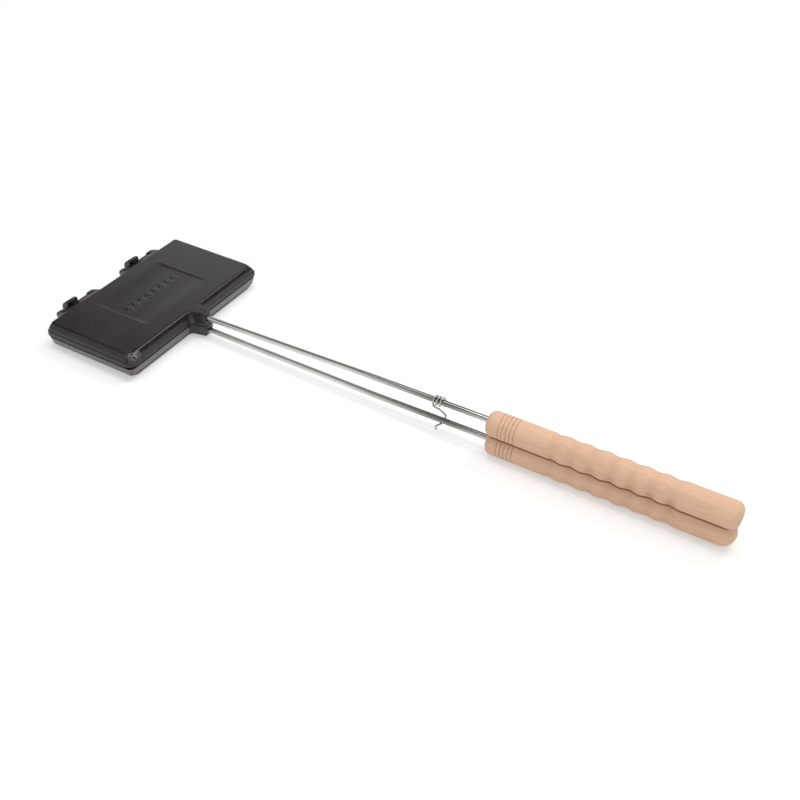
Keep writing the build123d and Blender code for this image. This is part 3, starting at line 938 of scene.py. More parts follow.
@dataclass
class Casting:
    """One cast half: rim, leaning flank, neck, baking cavity, score wall and pegs.

    Corner radii are those at the front and at the back, for the end at negative Y and then
    for the other end. The rim is a row of insets and levels from the land to the flank.
    """

    side: Side
    finishes: Finishes
    copies: CopiesOnGrid
    corners: CornerRadii
    rim: tuple[tuple[float, float], ...]
    face_round: float
    face_corners: CornerRadii = ((6.5, 6.5), (6.5, 6.5))
    ends_inset: float = 5.0
    foot: tuple[float, float] = (1.35, 6.0)
    flank_bulge: float = 0.45
    flank_shares: tuple[float, ...] = (0.03, 0.12, 0.3, 0.5, 0.7, 0.86, 1.0)
    round_steps: int = 8
    round_cut: float = 1.6
    face_margin: float = 0.7
    margin_cut: float = 2.5
    margin_least: float = 0.5
    margin_root: float = 7.2
    margin_tip: float = 0.6
    depth: float = 118.0
    width: float = 212.0
    height: float = 14.3
    parting_z: float = 14.3
    half_gap: float = 0.2
    grip_side_inset: float = 4.2
    hinge_side_inset: float = 3.6
    corner_steps: int = 12
    least_radius: float = 0.8
    straight_runs: int = 4
    neck_length: float = 16.0
    neck_share: float = 0.5
    neck_root_depth: float = 2.5
    neck_root_half: float = 11.5
    neck_end_half: float = 6.7
    neck_draft_deg: float = 5.0
    neck_root_radius: float = 5.0
    neck_end_radius: float = 2.0
    neck_end_taper: float = 0.6
    neck_end_least: float = 0.7
    neck_bulge: float = 0.15
    neck_face_round: float = 2.0
    land: float = 8.5
    cavity_depth: float = 10.0
    cavity_draft_deg: float = 8.0
    cavity_corner: float = 6.0
    cavity_steps: int = 8
    peg_rows: int = 6
    peg_groove: float = 4.6
    peg_height: float = 5.0
    peg_draft_deg: float = 10.0
    peg_corner: float = 1.3
    small_steps: int = 2
    wall_width: float = 5.0
    wall_height: float = 7.0
    wall_draft_deg: float = 6.0
    wall_end_gap: float = 0.4
    wall_runs: int = 6
    wall_corner: float = 0.6
    rod_offset: float = 7.6
    rod_radius: float = 3.0
    bore_clearance: float = 0.12
    bore_depth: float = 9.0
    sink_depth: float = 1.0
    sink_growth: float = 1.6
    bore_overshoot: float = 2.0
    bore_sides: int = 48
    pin_x: float = 67.0
    pin_radius: float = 1.25
    pin_clearance: float = 0.06
    pin_bore_sides: int = 24
    sharp_deg: float = 40.0

    def z(self, level: float) -> float:
        """The height of a level over the parting plane, outwards on either half."""
        return self.parting_z + self.side.value * level

    def outline(self, front: tuple[float, float], back: tuple[float, float],
                ends: tuple[float, float], neck: tuple[float, float],
                corners: Sequence[Sequence[float]], root: float,
                tip: float) -> list[Vector]:
        """One closed ring round the plate and its neck.

        Args:
            front: Inset and level on the grip side.
            back: Inset and level on the hinge side.
            ends: Inset and level at both ends.
            neck: Inset and level round the neck.
            corners: Radii of the head's corners, at its front and back, for the end at
                negative Y and for the one at positive Y.
            root: Radius where the neck leaves the head.
            tip: Radius of the neck's end corners.

        Returns:
            The ring's points in millimetres.
        """
        front_x, back_x = self.depth / 2 - front[0], -self.depth / 2 + back[0]
        half = self.width / 2 - ends[0]
        neck_end = self.depth / 2 + self.neck_length
        root_x = self.depth / 2 - self.grip_side_inset - self.neck_root_depth
        slope = (self.neck_root_half - self.neck_end_half) / (neck_end - root_x)
        end_x = neck_end - neck[0]
        end_half = self.neck_end_half + slope * (neck_end - end_x) - neck[0]
        root_half = self.neck_end_half + slope * (neck_end - front_x) - neck[0]
        near, far = ([
            Corner(end_x, end_half, tip, neck[1], neck[1]),
            Corner(front_x, root_half, root, neck[1], front[1]),
            Corner(front_x, half, at_front, front[1], ends[1]),
            Corner(back_x, half, at_back, ends[1], back[1]),
        ] for at_front, at_back in corners)
        mirrored = [Corner(c.x, -c.y, c.radius, c.level_out, c.level_in)
                    for c in reversed(near)]
        points = rounded(far + mirrored, self.corner_steps, self.straight_runs)
        return [Vector((p.x, p.y, self.z(p.z))) for p in points]

    def outside_rings(self) -> list[list[Vector]]:
        """The rings from the land's outer edge over rim and flank to the face.

        Returns:
            The points of each ring.
        """
        lean = math.tan(math.radians(self.neck_draft_deg))
        rows = []
        for inset, level in self.rim:
            edge = (inset, level)
            neck_in = inset * self.neck_share + level * lean
            rows.append(self.outline(edge, edge, edge, (neck_in, level),
                                     [[c - inset for c in pair] for pair in self.corners],
                                     self.neck_root_radius + inset,
                                     max(self.neck_end_radius - inset, self.least_radius)))
        step, foot = self.foot
        sides = [FlankProfile(self.height, inset, foot, step, self.face_round,
                              self.flank_bulge)
                 for inset in (self.grip_side_inset, self.hinge_side_inset, self.ends_inset)]
        neck_step = step * self.neck_share
        neck = FlankProfile(self.height, neck_step + self.height * lean, foot,
                            neck_step + foot * lean, self.neck_face_round, self.neck_bulge)
        shares = [*self.flank_shares,
                  *(1 + k / self.round_steps for k in range(1, self.round_steps + 1))]
        for share in shares:
            front, back, ends = (side.point(share) for side in sides)
            along, cut = min(share, 1.0), max(0.0, share - 1) * self.round_cut
            corners = [[max(f * along + (c - step) * (1 - along) - cut, self.least_radius)
                        for c, f in zip(low, high)]
                       for low, high in zip(self.corners, self.face_corners)]
            rows.append(self.outline(front, back, ends, neck.point(share), corners,
                                     self.neck_root_radius + cut,
                                     max(self.neck_end_radius - self.neck_end_taper * share,
                                         self.neck_end_least)))
        grown = [(inset + self.face_margin, level)
                 for inset, level in (profile.point(2.0) for profile in (*sides, neck))]
        corners = [[max(f - self.margin_cut, self.margin_least) for f in pair]
                   for pair in self.face_corners]
        rows.append(self.outline(*grown, corners=corners, root=self.margin_root,
                                 tip=self.margin_tip))
        return rows

    def cavity_rings(self) -> list[list[Vector]]:
        """The rings from the land's inner edge down to the cavity's floor.

        Returns:
            The points of each ring.
        """
        lean = math.tan(math.radians(self.cavity_draft_deg))
        deep = self.cavity_depth
        rows = [(-1.0, self.half_gap), (-0.4, self.half_gap), (-0.1, self.half_gap + 0.12),
                (0.4 * lean, 0.6), (3.0 * lean, 3.0), (6.0 * lean, 6.0),
                ((deep - 1.4) * lean, deep - 1.4), (deep * lean + 0.15, deep - 0.75),
                (deep * lean + 0.5, deep - 0.25), (deep * lean + 1.2, deep),
                (deep * lean + 1.8, deep)]
        rings = []
        for inset, level in rows:
            corners = oblong(self.depth - 2 * (self.land + inset),
                             self.width - 2 * (self.land + inset), self.cavity_corner - inset)
            rings.append([Vector((p.x, p.y, self.z(level)))
                          for p in rounded(corners, self.cavity_steps, self.straight_runs)])
        return rings

    @property
    def floor_inset(self) -> float:
        """How far inside the head's outline the cavity's floor starts."""
        return self.land + self.cavity_depth * math.tan(math.radians(self.cavity_draft_deg))

    def add_face(self, form: Form, edge: Ring) -> None:
        """Closes the face inside its edge ring."""
        form.cap(edge)

    def add_hinge(self, form: Form) -> None:
        """Adds the hinge's cast parts of this half."""

    def shell(self) -> Form:
        """The closed casting without its pegs.

        Returns:
            The form, still open to additions.
        """
        form = Form()
        outside = [form.ring(row) for row in self.outside_rings()]
        cavity = [form.ring(row) for row in self.cavity_rings()]
        form.skin(outside)
        form.skin(cavity)
        form.fill(outside[0], cavity[0])
        form.cap(cavity[-1])
        self.add_face(form, outside[-1])
        return form

    def bore(self, piece: bpy.types.Object) -> bpy.types.Object:
        """Cuts the rod's bore with a small countersink and the cross pin's bore.

        Args:
            piece: The casting.

        Returns:
            The cutter, which is removed once the casting is settled.
        """
        height = self.z(self.rod_offset)
        end = (self.depth / 2 + self.neck_length
               - math.tan(math.radians(self.neck_draft_deg)) * self.rod_offset)
        bore = self.rod_radius + self.bore_clearance
        cutter = Form()
        cutter.solid([(x, p.x, height + p.y) for p in circle_points(radius, self.bore_sides)]
                     for x, radius in ((end - self.bore_depth, bore),
                                       (end - self.sink_depth, bore),
                                       (end + self.bore_overshoot,
                                        self.rod_radius + self.sink_growth)))
        reach = self.neck_root_half + self.bore_overshoot
        cutter.solid([(self.pin_x + p.x, y, height + p.y)
                      for p in circle_points(self.pin_radius + self.pin_clearance,
                                             self.pin_bore_sides)]
                     for y in (-reach, reach))
        tool = cutter.object("bore_cutter")
        cut = piece.modifiers.new("bore", "BOOLEAN")
        cut.operation, cut.solver, cut.object = "DIFFERENCE", "EXACT", tool
        cut.use_self = True
        return tool

    def peg(self) -> tuple[bpy.types.Object, float, float]:
        """One peg at the origin, and the pitch of the pegs along X and Y.

        Returns:
            The peg, and its pitch along X and along Y.
        """
        field_x = self.depth - 2 * self.floor_inset
        field_y = self.width / 2 - self.floor_inset - self.wall_width / 2
        grooves = (self.peg_rows + 1) * self.peg_groove
        peg_x, peg_y = ((size - grooves) / self.peg_rows for size in (field_x, field_y))
        lean = math.tan(math.radians(self.peg_draft_deg))
        top = self.peg_height
        form = Form()
        form.solid([(p.x, p.y, -self.side.value * level)
                    for p in rounded(oblong(peg_x + 2 * out, peg_y + 2 * out,
                                            max(self.peg_corner + out, self.least_radius)),
                                     self.small_steps)]
                   for out, level in (
                       (0.9, -0.05), (0.4, 0.12), (-0.2, 0.9),
                       (-(top - 0.8) * lean, top - 0.8), (-top * lean - 0.15, top - 0.2),
                       (-top * lean - 0.7, top)))
        made = form.object(f"{self.side.word}_peg_form")
        return made, peg_x + self.peg_groove, peg_y + self.peg_groove

    def add_score_wall(self, form: Form) -> None:
        """Adds the wall between the two fields, with its ends in the cavity's walls.

        Args:
            form: The form it is added to.
        """
        lean = math.tan(math.radians(self.wall_draft_deg))
        length = self.depth - 2 * self.land - self.wall_end_gap
        deep, top = self.cavity_depth, self.wall_height
        form.solid([(p.x, p.y, self.z(deep - level))
                    for p in rounded(oblong(length, self.wall_width + 2 * out,
                                            self.wall_corner), self.small_steps,
                                     self.wall_runs)]
                   for out, level in (
                       (1.0, -0.05), (0.45, 0.12), (-0.1, 1.0),
                       (-(top - 1.0) * lean, top - 1.0), (-top * lean - 0.2, top - 0.25),
                       (-top * lean - 0.75, top)))

    def build(self) -> bpy.types.Object:
        """Makes the finished casting and sets it in the frame.

        Returns:
            The casting.
        """
        name = f"{self.side.word}_casting"
        piece = self.shell().object(name)
        tool = self.bore(piece)
        piece = settle(piece)
        bpy.data.objects.remove(tool)
        extras = Form()
        self.add_score_wall(extras)
        self.add_hinge(extras)
        added = extras.object("casting_extras")
        peg, pitch_x, pitch_y = self.peg()
        centre_y = (self.width / 2 - self.floor_inset + self.wall_width / 2) / 2
        common = {"Material": self.finishes.iron}
        self.copies.put_on(piece, {"Form": added, "Rows": 1, "Columns": 1, **common})
        for way in (-1, 1):
            self.copies.put_on(piece, {
                "Form": peg, "Rows": self.peg_rows, "Columns": self.peg_rows,
                "Pitch X": pitch_x * MM, "Pitch Y": pitch_y * MM,
                "Centre": (0.0, way * centre_y * MM, self.z(self.cavity_depth) * MM),
                **common})
        forms = [added, peg] + self.add_copies(piece, common)
        piece = settle(piece, self.sharp_deg)
        for form in forms:
            bpy.data.objects.remove(form)
        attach(piece, self.side.body)
        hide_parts(f"{self.side.word}_plate")
        return piece

    def add_copies(self, piece: bpy.types.Object,
                   common: dict[str, Value]) -> list[bpy.types.Object]:
        """Adds this half's own repeated forms, and gives the forms to remove afterwards."""
        return []


@dataclass
class Hinge:
    """Sizes that both halves of the hinge share, in X and in height over the parting plane."""

    axis_x: float = -71.8
    head_back: float = -59.0
    set_starts: tuple[float, float] = (-73.2, 25.4)
    set_width: float = 53.0
    lug_width: float = 7.5
    lug_radius: float = 4.8
    pin_radius: float = 3.2
    hook_start: float = 13.5
    hook_width: float = 14.7
    hook_bore: float = 3.5
    hook_radius: float = 9.2
    hook_tip: float = 1.0
    shelf_clear: float = 9.7
    shelf_reach: float = 6.6
    shelf_rise: float = 2.4
    shelf_low: float = 1.0
    hollow_steps: int = 10
    hollow_trim_deg: tuple[float, float] = (4.0, 3.0)
    eye_deg: tuple[float, float] = (115.0, 300.0)
    eye_steps: int = 28
    web_back: float = 1.4
    bore_steps: int = 20
    hook_steps: int = 36
    stem_overlap: float = 0.8
    tip_trim_deg: float = 4.0
    eye_sides: int = 36
    flank_inset: float = 3.6
    flank_overlap: float = 0.6
    edge: float = 0.55

    def shelf_tip(self) -> tuple[float, float]:
        """The highest point of the shelf's back."""
        x = self.head_back - self.shelf_reach
        return x, math.sqrt(self.shelf_clear ** 2 - (x - self.axis_x) ** 2)

    @staticmethod
    def raised(points: Iterable[Vector], parting: float) -> list[Vector]:
        """A section moved up from the parting plane's level to its height."""
        return [Vector((p.x, parting + p.y)) for p in points]

    def shelf(self, parting: float) -> list[Vector]:
        """The shelf's section, hollow at the back, counter-clockwise.

        Args:
            parting: The height of the parting plane.

        Returns:
            The section's points in X and Z.
        """
        tip_x, tip_z = self.shelf_tip()
        flank = self.head_back + self.flank_inset + self.flank_overlap
        top_angle = math.degrees(math.atan2(tip_z, tip_x - self.axis_x))
        low_angle = math.degrees(math.asin(self.shelf_low / self.shelf_clear))
        top_trim, low_trim = self.hollow_trim_deg
        hollow = arc_points((self.axis_x, 0), self.shelf_clear, top_angle - top_trim,
                            low_angle + low_trim, self.hollow_steps)
        return self.raised([
            Vector((flank, tip_z + self.shelf_rise)), Vector((tip_x + 0.8, tip_z + 0.18)),
            Vector((tip_x + 0.2, tip_z - 0.15)), *hollow,
            Vector((hollow[-1].x + 0.5, self.shelf_low)),
            Vector((flank, self.shelf_low))], parting)

    def lug(self, parting: float) -> list[Vector]:
        """A lug's section: an eye round the pin with a web to the shelf.

        Args:
            parting: The height of the parting plane.

        Returns:
            The section's points in X and Z.
        """
        tip_x, tip_z = self.shelf_tip()
        flank = self.head_back + self.flank_inset + self.flank_overlap
        eye = arc_points((self.axis_x, 0), self.lug_radius, *self.eye_deg, self.eye_steps)
        return self.raised([
            *eye, Vector((self.head_back - self.web_back, self.shelf_low)),
            Vector((flank, self.shelf_low)), Vector((flank, tip_z)),
            Vector((tip_x, tip_z))], parting)

    def hook(self, parting: float) -> list[Vector]:
        """A hook's section: a stem under the pin and a ring round behind it to a blunt tip.

        Args:
            parting: The height of the parting plane.

        Returns:
            The section's points in X and Z.
        """
        x, bore, outer = self.axis_x, self.hook_bore, self.hook_radius
        stem_end = self.head_back + self.flank_inset + self.stem_overlap
        tip = self.hook_tip
        tip_top = math.sqrt(outer ** 2 - tip ** 2)
        tip_angle = math.degrees(math.atan2(tip_top - 0.5, tip))
        inside = arc_points((x, 0), bore, 270, 90, self.bore_steps)
        outside = arc_points((x, 0), outer, tip_angle + self.tip_trim_deg, 270,
                             self.hook_steps)
        blunt = [Vector((x + tip - 0.7, bore)), Vector((x + tip - 0.25, bore + 0.15)),
                 Vector((x + tip, bore + 0.6)), Vector((x + tip, tip_top - 0.9)),
                 Vector((x + tip - 0.12, tip_top - 0.35))]
        return self.raised([*outside, Vector((stem_end, -outer)), Vector((stem_end, -bore)),
                            *inside, *blunt], parting)


@dataclass
class LidCasting(Casting):
    """The upper casting, with its sunk panel, lozenges, hinge shelves and lugs."""

    corners: CornerRadii = ((9.5, 6.0), (4.2, 3.2))
    rim: tuple[tuple[float, float], ...] = (
        (2.0, 0.2), (1.1, 0.2), (0.55, 0.34), (0.16, 0.75), (0.0, 1.35), (0.2, 3.0),
        (0.5, 5.35), (0.58, 5.66), (0.76, 5.88), (0.98, 5.95), (1.2, 6.0))
    face_round: float = 3.2
    face_corners: CornerRadii = ((9.0, 6.0), (7.0, 3.6))
    hinge: Hinge = field(default_factory=Hinge)
    panel_length: float = 65.0
    panel_width: float = 99.0
    panel_x: float = -2.5
    panel_depth: float = 0.9
    panel_corner: float = 5.0
    lozenges: int = 8
    lozenge_pitch: float = 10.5
    lozenge_width: float = 14.0
    lozenge_share: float = 0.92
    lozenge_height: float = 0.5
    lozenge_corner: float = 0.7
    lozenge_steps: int = 4

    def add_face(self, form: Form, edge: Ring) -> None:
        """Closes the face round a sunk panel.

        Args:
            form: The casting's form.
            edge: The ring round the face.
        """
        deep = self.panel_depth
        rows = [(-6.0, -0.9, 0.0), (-5.0, -0.25, 0.0), (-3.5, -0.05, 0.03), (-0.6, 0.12, 0.13),
                (5.0, 0.45, 0.45), (11.0, deep - 0.12, deep - 0.13),
                (14.0, deep + 0.05, deep - 0.03), (16.0, deep + 0.3, deep),
                (17.0, deep + 1.0, deep)]
        rings = []
        for along, inset, depth in rows:
            corners = oblong(self.panel_length - 2 * along, self.panel_width - 2 * inset,
                             self.panel_corner - inset, self.panel_x)
            rings.append(form.ring(
                (p.x, p.y, self.z(self.height - depth))
                for p in rounded(corners, self.cavity_steps, self.straight_runs)))
        form.skin(rings)
        form.fill(edge, rings[0])
        form.cap(rings[-1])

    def add_hinge(self, form: Form) -> None:
        """Adds both sets' shelves and lugs.

        Args:
            form: The form they are added to.
        """
        h = self.hinge
        hole = [Vector((h.axis_x + p.x, self.parting_z + p.y))
                for p in circle_points(h.pin_radius, h.eye_sides, -1)]
        for start in h.set_starts:
            form.prism(h.shelf(self.parting_z), start + 0.05, start + h.set_width - 0.05,
                       h.edge)
            for at in (start, start + h.set_width - h.lug_width):
                form.prism(h.lug(self.parting_z), at, at + h.lug_width, h.edge, [hole])

    def add_copies(self, piece: bpy.types.Object,
                   common: dict[str, Value]) -> list[bpy.types.Object]:
        """Adds the row of lozenges on the panel.

        Args:
            piece: The casting.
            common: What all copies on it share.

        Returns:
            The forms to remove once the casting is settled.
        """
        half_x = self.lozenge_width / 2
        half_y = self.lozenge_pitch * self.lozenge_share / 2
        top = self.lozenge_height
        form = Form()
        rows = []
        for inset, level in ((-0.4, -0.05), (-0.15, 0.03), (0.15, 0.13), (0.6, top - 0.12),
                             (0.9, top - 0.03), (1.4, top)):
            k = 1 - inset / (half_x * half_y / math.hypot(half_x, half_y))
            corners = [Corner(x * k, y * k, self.lozenge_corner) for x, y in (
                (half_x, 0), (0, half_y), (-half_x, 0), (0, -half_y))]
            rows.append([(p.x, p.y, level) for p in rounded(corners, self.lozenge_steps)])
        form.solid(rows)
        lozenge = form.object("lozenge_form")
        self.copies.put_on(piece, {
            "Form": lozenge, "Rows": 1, "Columns": self.lozenges, "Pitch X": 0.0,
            "Pitch Y": self.lozenge_pitch * MM,
            "Centre": (self.panel_x * MM, 0.0,
                       self.z(self.height - self.panel_depth) * MM), **common})
        return [lozenge]


@dataclass
class BaseCasting(Casting):
    """The lower casting, with its two hinge hooks."""

    corners: CornerRadii = ((6.0, 9.0), (7.0, 9.0))
    rim: tuple[tuple[float, float], ...] = (
        (1.0, 0.2), (0.4, 0.2), (0.12, 0.3), (0.0, 0.55), (0.2, 1.5), (0.8, 3.9),
        (1.5, 6.5), (2.3, 9.35), (2.45, 9.72), (2.7, 10.0), (3.0, 10.15))
    face_round: float = 1.2
    ends_inset: float = 8.5
    foot: tuple[float, float] = (3.2, 10.2)
    flank_bulge: float = 0.2
    neck_share: float = 0.25
    hinge: Hinge = field(default_factory=Hinge)

    def add_hinge(self, form: Form) -> None:
        """Adds a hook for each set.

        Args:
            form: The form they are added to.
        """
        h = self.hinge
        for start in h.set_starts:
            at = start + h.hook_start
            form.prism(h.hook(self.parting_z), at, at + h.hook_width, h.edge)


class BarTree(GeometryTree):
    """A round bar or wire along a curve, whose corners can be rounded first."""

    def __init__(self, name: str, sides: int, bend_points: int = 0) -> None:
        """Wires the tree.

        Args:
            name: The tree's name.
            sides: The number of sides round the bar.
            bend_points: Points round each bend, where corners are rounded.
        """
        super().__init__(name)
        radius, bend = self.size("Radius"), self.size("Bend Radius")
        material = self.size("Material", "NodeSocketMaterial")
        line = self.source.outputs["Geometry"]
        if bend_points:
            line = self.add("GeometryNodeFilletCurve", {
                "Curve": line, "Radius": bend, "Count": bend_points}, mode="POLY").outputs[0]
        section = self.add("GeometryNodeCurvePrimitiveCircle", {"Resolution": sides,
                                                                "Radius": radius})
        bar = self.add("GeometryNodeCurveToMesh", {
            "Curve": line, "Profile Curve": section.outputs[0], "Fill Caps": True})
        self.finish(bar.outputs[0], material)


@dataclass
class Rods:
    """The two rods, and what else needs their line."""

    finishes: Finishes
    parting_z: float = 14.3
    radius: float = 3.0
    neck_offset: float = 7.6
    grip_offset: float = 11.1
    grip_rise: float = 4.2
    grip_drop: float = 2.0
    start_x: float = 55.5
    bend_x: float = 82.0
    parallel_x: float = 278.0
    level_x: float = 400.8
    end_x: float = 589.8
    bend_radius: float = 700.0
    sharp_deg: float = 60.0

    @property
    def slope(self) -> float:
        """Rise of both rods per length on their middle runs."""
        return self.grip_rise / (self.level_x - self.bend_x)

    def height(self, side: Side, x: float) -> float:
        """A rod's height at x on its middle runs.

        Args:
            side: Which rod.
            x: A place along it.

        Returns:
            The height of its axis.
        """
        spread = min(1.0, (x - self.bend_x) / (self.parallel_x - self.bend_x))
        offset = self.neck_offset + (self.grip_offset - self.neck_offset) * spread
        return self.parting_z + side.value * offset + self.slope * (x - self.bend_x)

    def build(self, side: Side, tree: BarTree) -> bpy.types.Object:
        """Makes one rod.

        Args:
            side: Which rod.
            tree: The tree that makes the bar.

        Returns:
            The rod.
        """
        route = [(self.start_x, self.height(side, self.bend_x))]
        route += [(x, self.height(side, x)) for x in (self.bend_x, self.parallel_x,
                                                      self.level_x)]
        route.append((self.end_x,
                      self.parting_z + self.grip_rise + side.value * self.grip_offset))
        curve = bpy.data.curves.new(f"{side.word}_bar", "CURVE")
        curve.dimensions = "3D"
        spline = curve.splines.new("POLY")
        spline.points.add(len(route) - 1)
        for point, (x, z) in zip(spline.points, route):
            point.co = (x * MM, 0.0, z * MM, 1.0)
        piece = linked(f"{side.word}_bar", curve)
        tree.put_on(piece, {"Radius": self.radius * MM, "Bend Radius": self.bend_radius * MM,
                            "Material": self.finishes.rod})
        piece = settle(piece, self.sharp_deg)
        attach(piece, side.body)
        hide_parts(f"{side.word}_rod")
        return piece


class GripTree(GeometryTree):
    """A turned grip: a profile spun round X, with ring grooves, finger waves and a flat."""

    FADED_PART = 0.12
    ON_AXIS = 0.00001
    MERGED = 0.000002

    def __init__(self) -> None:
        """Wires the tree."""
        super().__init__("turned_grip")
        around = self.size("Vertices Around", "NodeSocketInt")
        centre = self.size("Start", "NodeSocketVector")
        rings, first, pitch, width, depth = (self.size(n) for n in (
            "Rings", "First Ring", "Ring Pitch", "Ring Width", "Ring Depth"))
        waves, wave_start, wave_pitch, wave_depth = (self.size(n) for n in (
            "Waves", "Wave Start", "Wave Pitch", "Wave Depth"))
        flat, soft, way = (self.size(n) for n in ("Flat", "Flat Softness", "Way"))
        material = self.size("Material", "NodeSocketMaterial")
        profile = self.source.outputs["Geometry"]
        count = self.add("GeometryNodeAttributeDomainSize", {"Geometry": profile}).outputs[0]
        grid = self.add("GeometryNodeMeshGrid", {"Vertices X": count, "Vertices Y": around})
        index = self.add("GeometryNodeInputIndex").outputs[0]
        station = self.math("FLOOR", self.math("DIVIDE", self.math("ADD", index, 0.5), around))
        step = self.math("FLOORED_MODULO", index, around)
        sample = self.add("GeometryNodeSampleIndex",
                          {"Geometry": profile,
                           "Value": self.add("GeometryNodeInputPosition").outputs[0],
                           "Index": station}, data_type="FLOAT_VECTOR", domain="POINT")
        at = self.add("ShaderNodeSeparateXYZ", {0: sample.outputs[0]})
        x, radius = at.outputs[0], at.outputs[2]
        off = self.off_nearest(x, first, pitch, self.math("SUBTRACT", rings, 1.0))
        inside = self.math("MINIMUM", self.math("DIVIDE", self.math("MULTIPLY", off, 2.0),
                                                width), 1.0)
        bowl = self.math("MULTIPLY_ADD", self.math("COSINE", self.math(
            "MULTIPLY", inside, math.pi)), 0.5, 0.5)
        groove = self.math("MULTIPLY", bowl, depth)
        phase = self.math("DIVIDE", self.math("SUBTRACT", x, wave_start), wave_pitch)
        swing = self.math("SINE", self.math("MULTIPLY", phase, 2 * math.pi))
        from_end = self.math("MINIMUM", phase, self.math("SUBTRACT", waves, phase))
        fade = self.ramp(from_end, 0.0, self.FADED_PART, smooth=True)
        wave = self.math("MULTIPLY", self.math("MULTIPLY", swing, fade),
                         self.math("MULTIPLY", wave_depth, -0.5))
        turned = self.math("ADD", self.math("SUBTRACT", radius, groove), wave)
        turned = self.math("MULTIPLY", turned,
                           self.math("GREATER_THAN", radius, self.ON_AXIS))
        angle = self.math("MULTIPLY", step, self.math(
            "DIVIDE", 2 * math.pi, self.math("SUBTRACT", around, 1.0)))
        out_y = self.math("MULTIPLY", turned, self.math("SINE", angle))
        out_z = self.math("MULTIPLY", turned, self.math("COSINE", angle))
        lifted = self.math("SMOOTH_MAX", self.math("MULTIPLY", out_z, way),
                           self.math("MULTIPLY", flat, -1.0), soft)
        spot = self.add("ShaderNodeCombineXYZ",
                        {0: x, 1: out_y, 2: self.math("MULTIPLY", lifted, way)}).outputs[0]
        moved = self.add("ShaderNodeVectorMath", {0: spot, 1: centre}, operation="ADD")
        formed = self.add("GeometryNodeSetPosition", {"Geometry": grid.outputs[0],
                                                      "Position": moved.outputs[0]})
        merged = self.add("GeometryNodeMergeByDistance", {"Geometry": formed.outputs[0],
                                                          "Distance": self.MERGED})
        self.finish(merged.outputs[0], material)


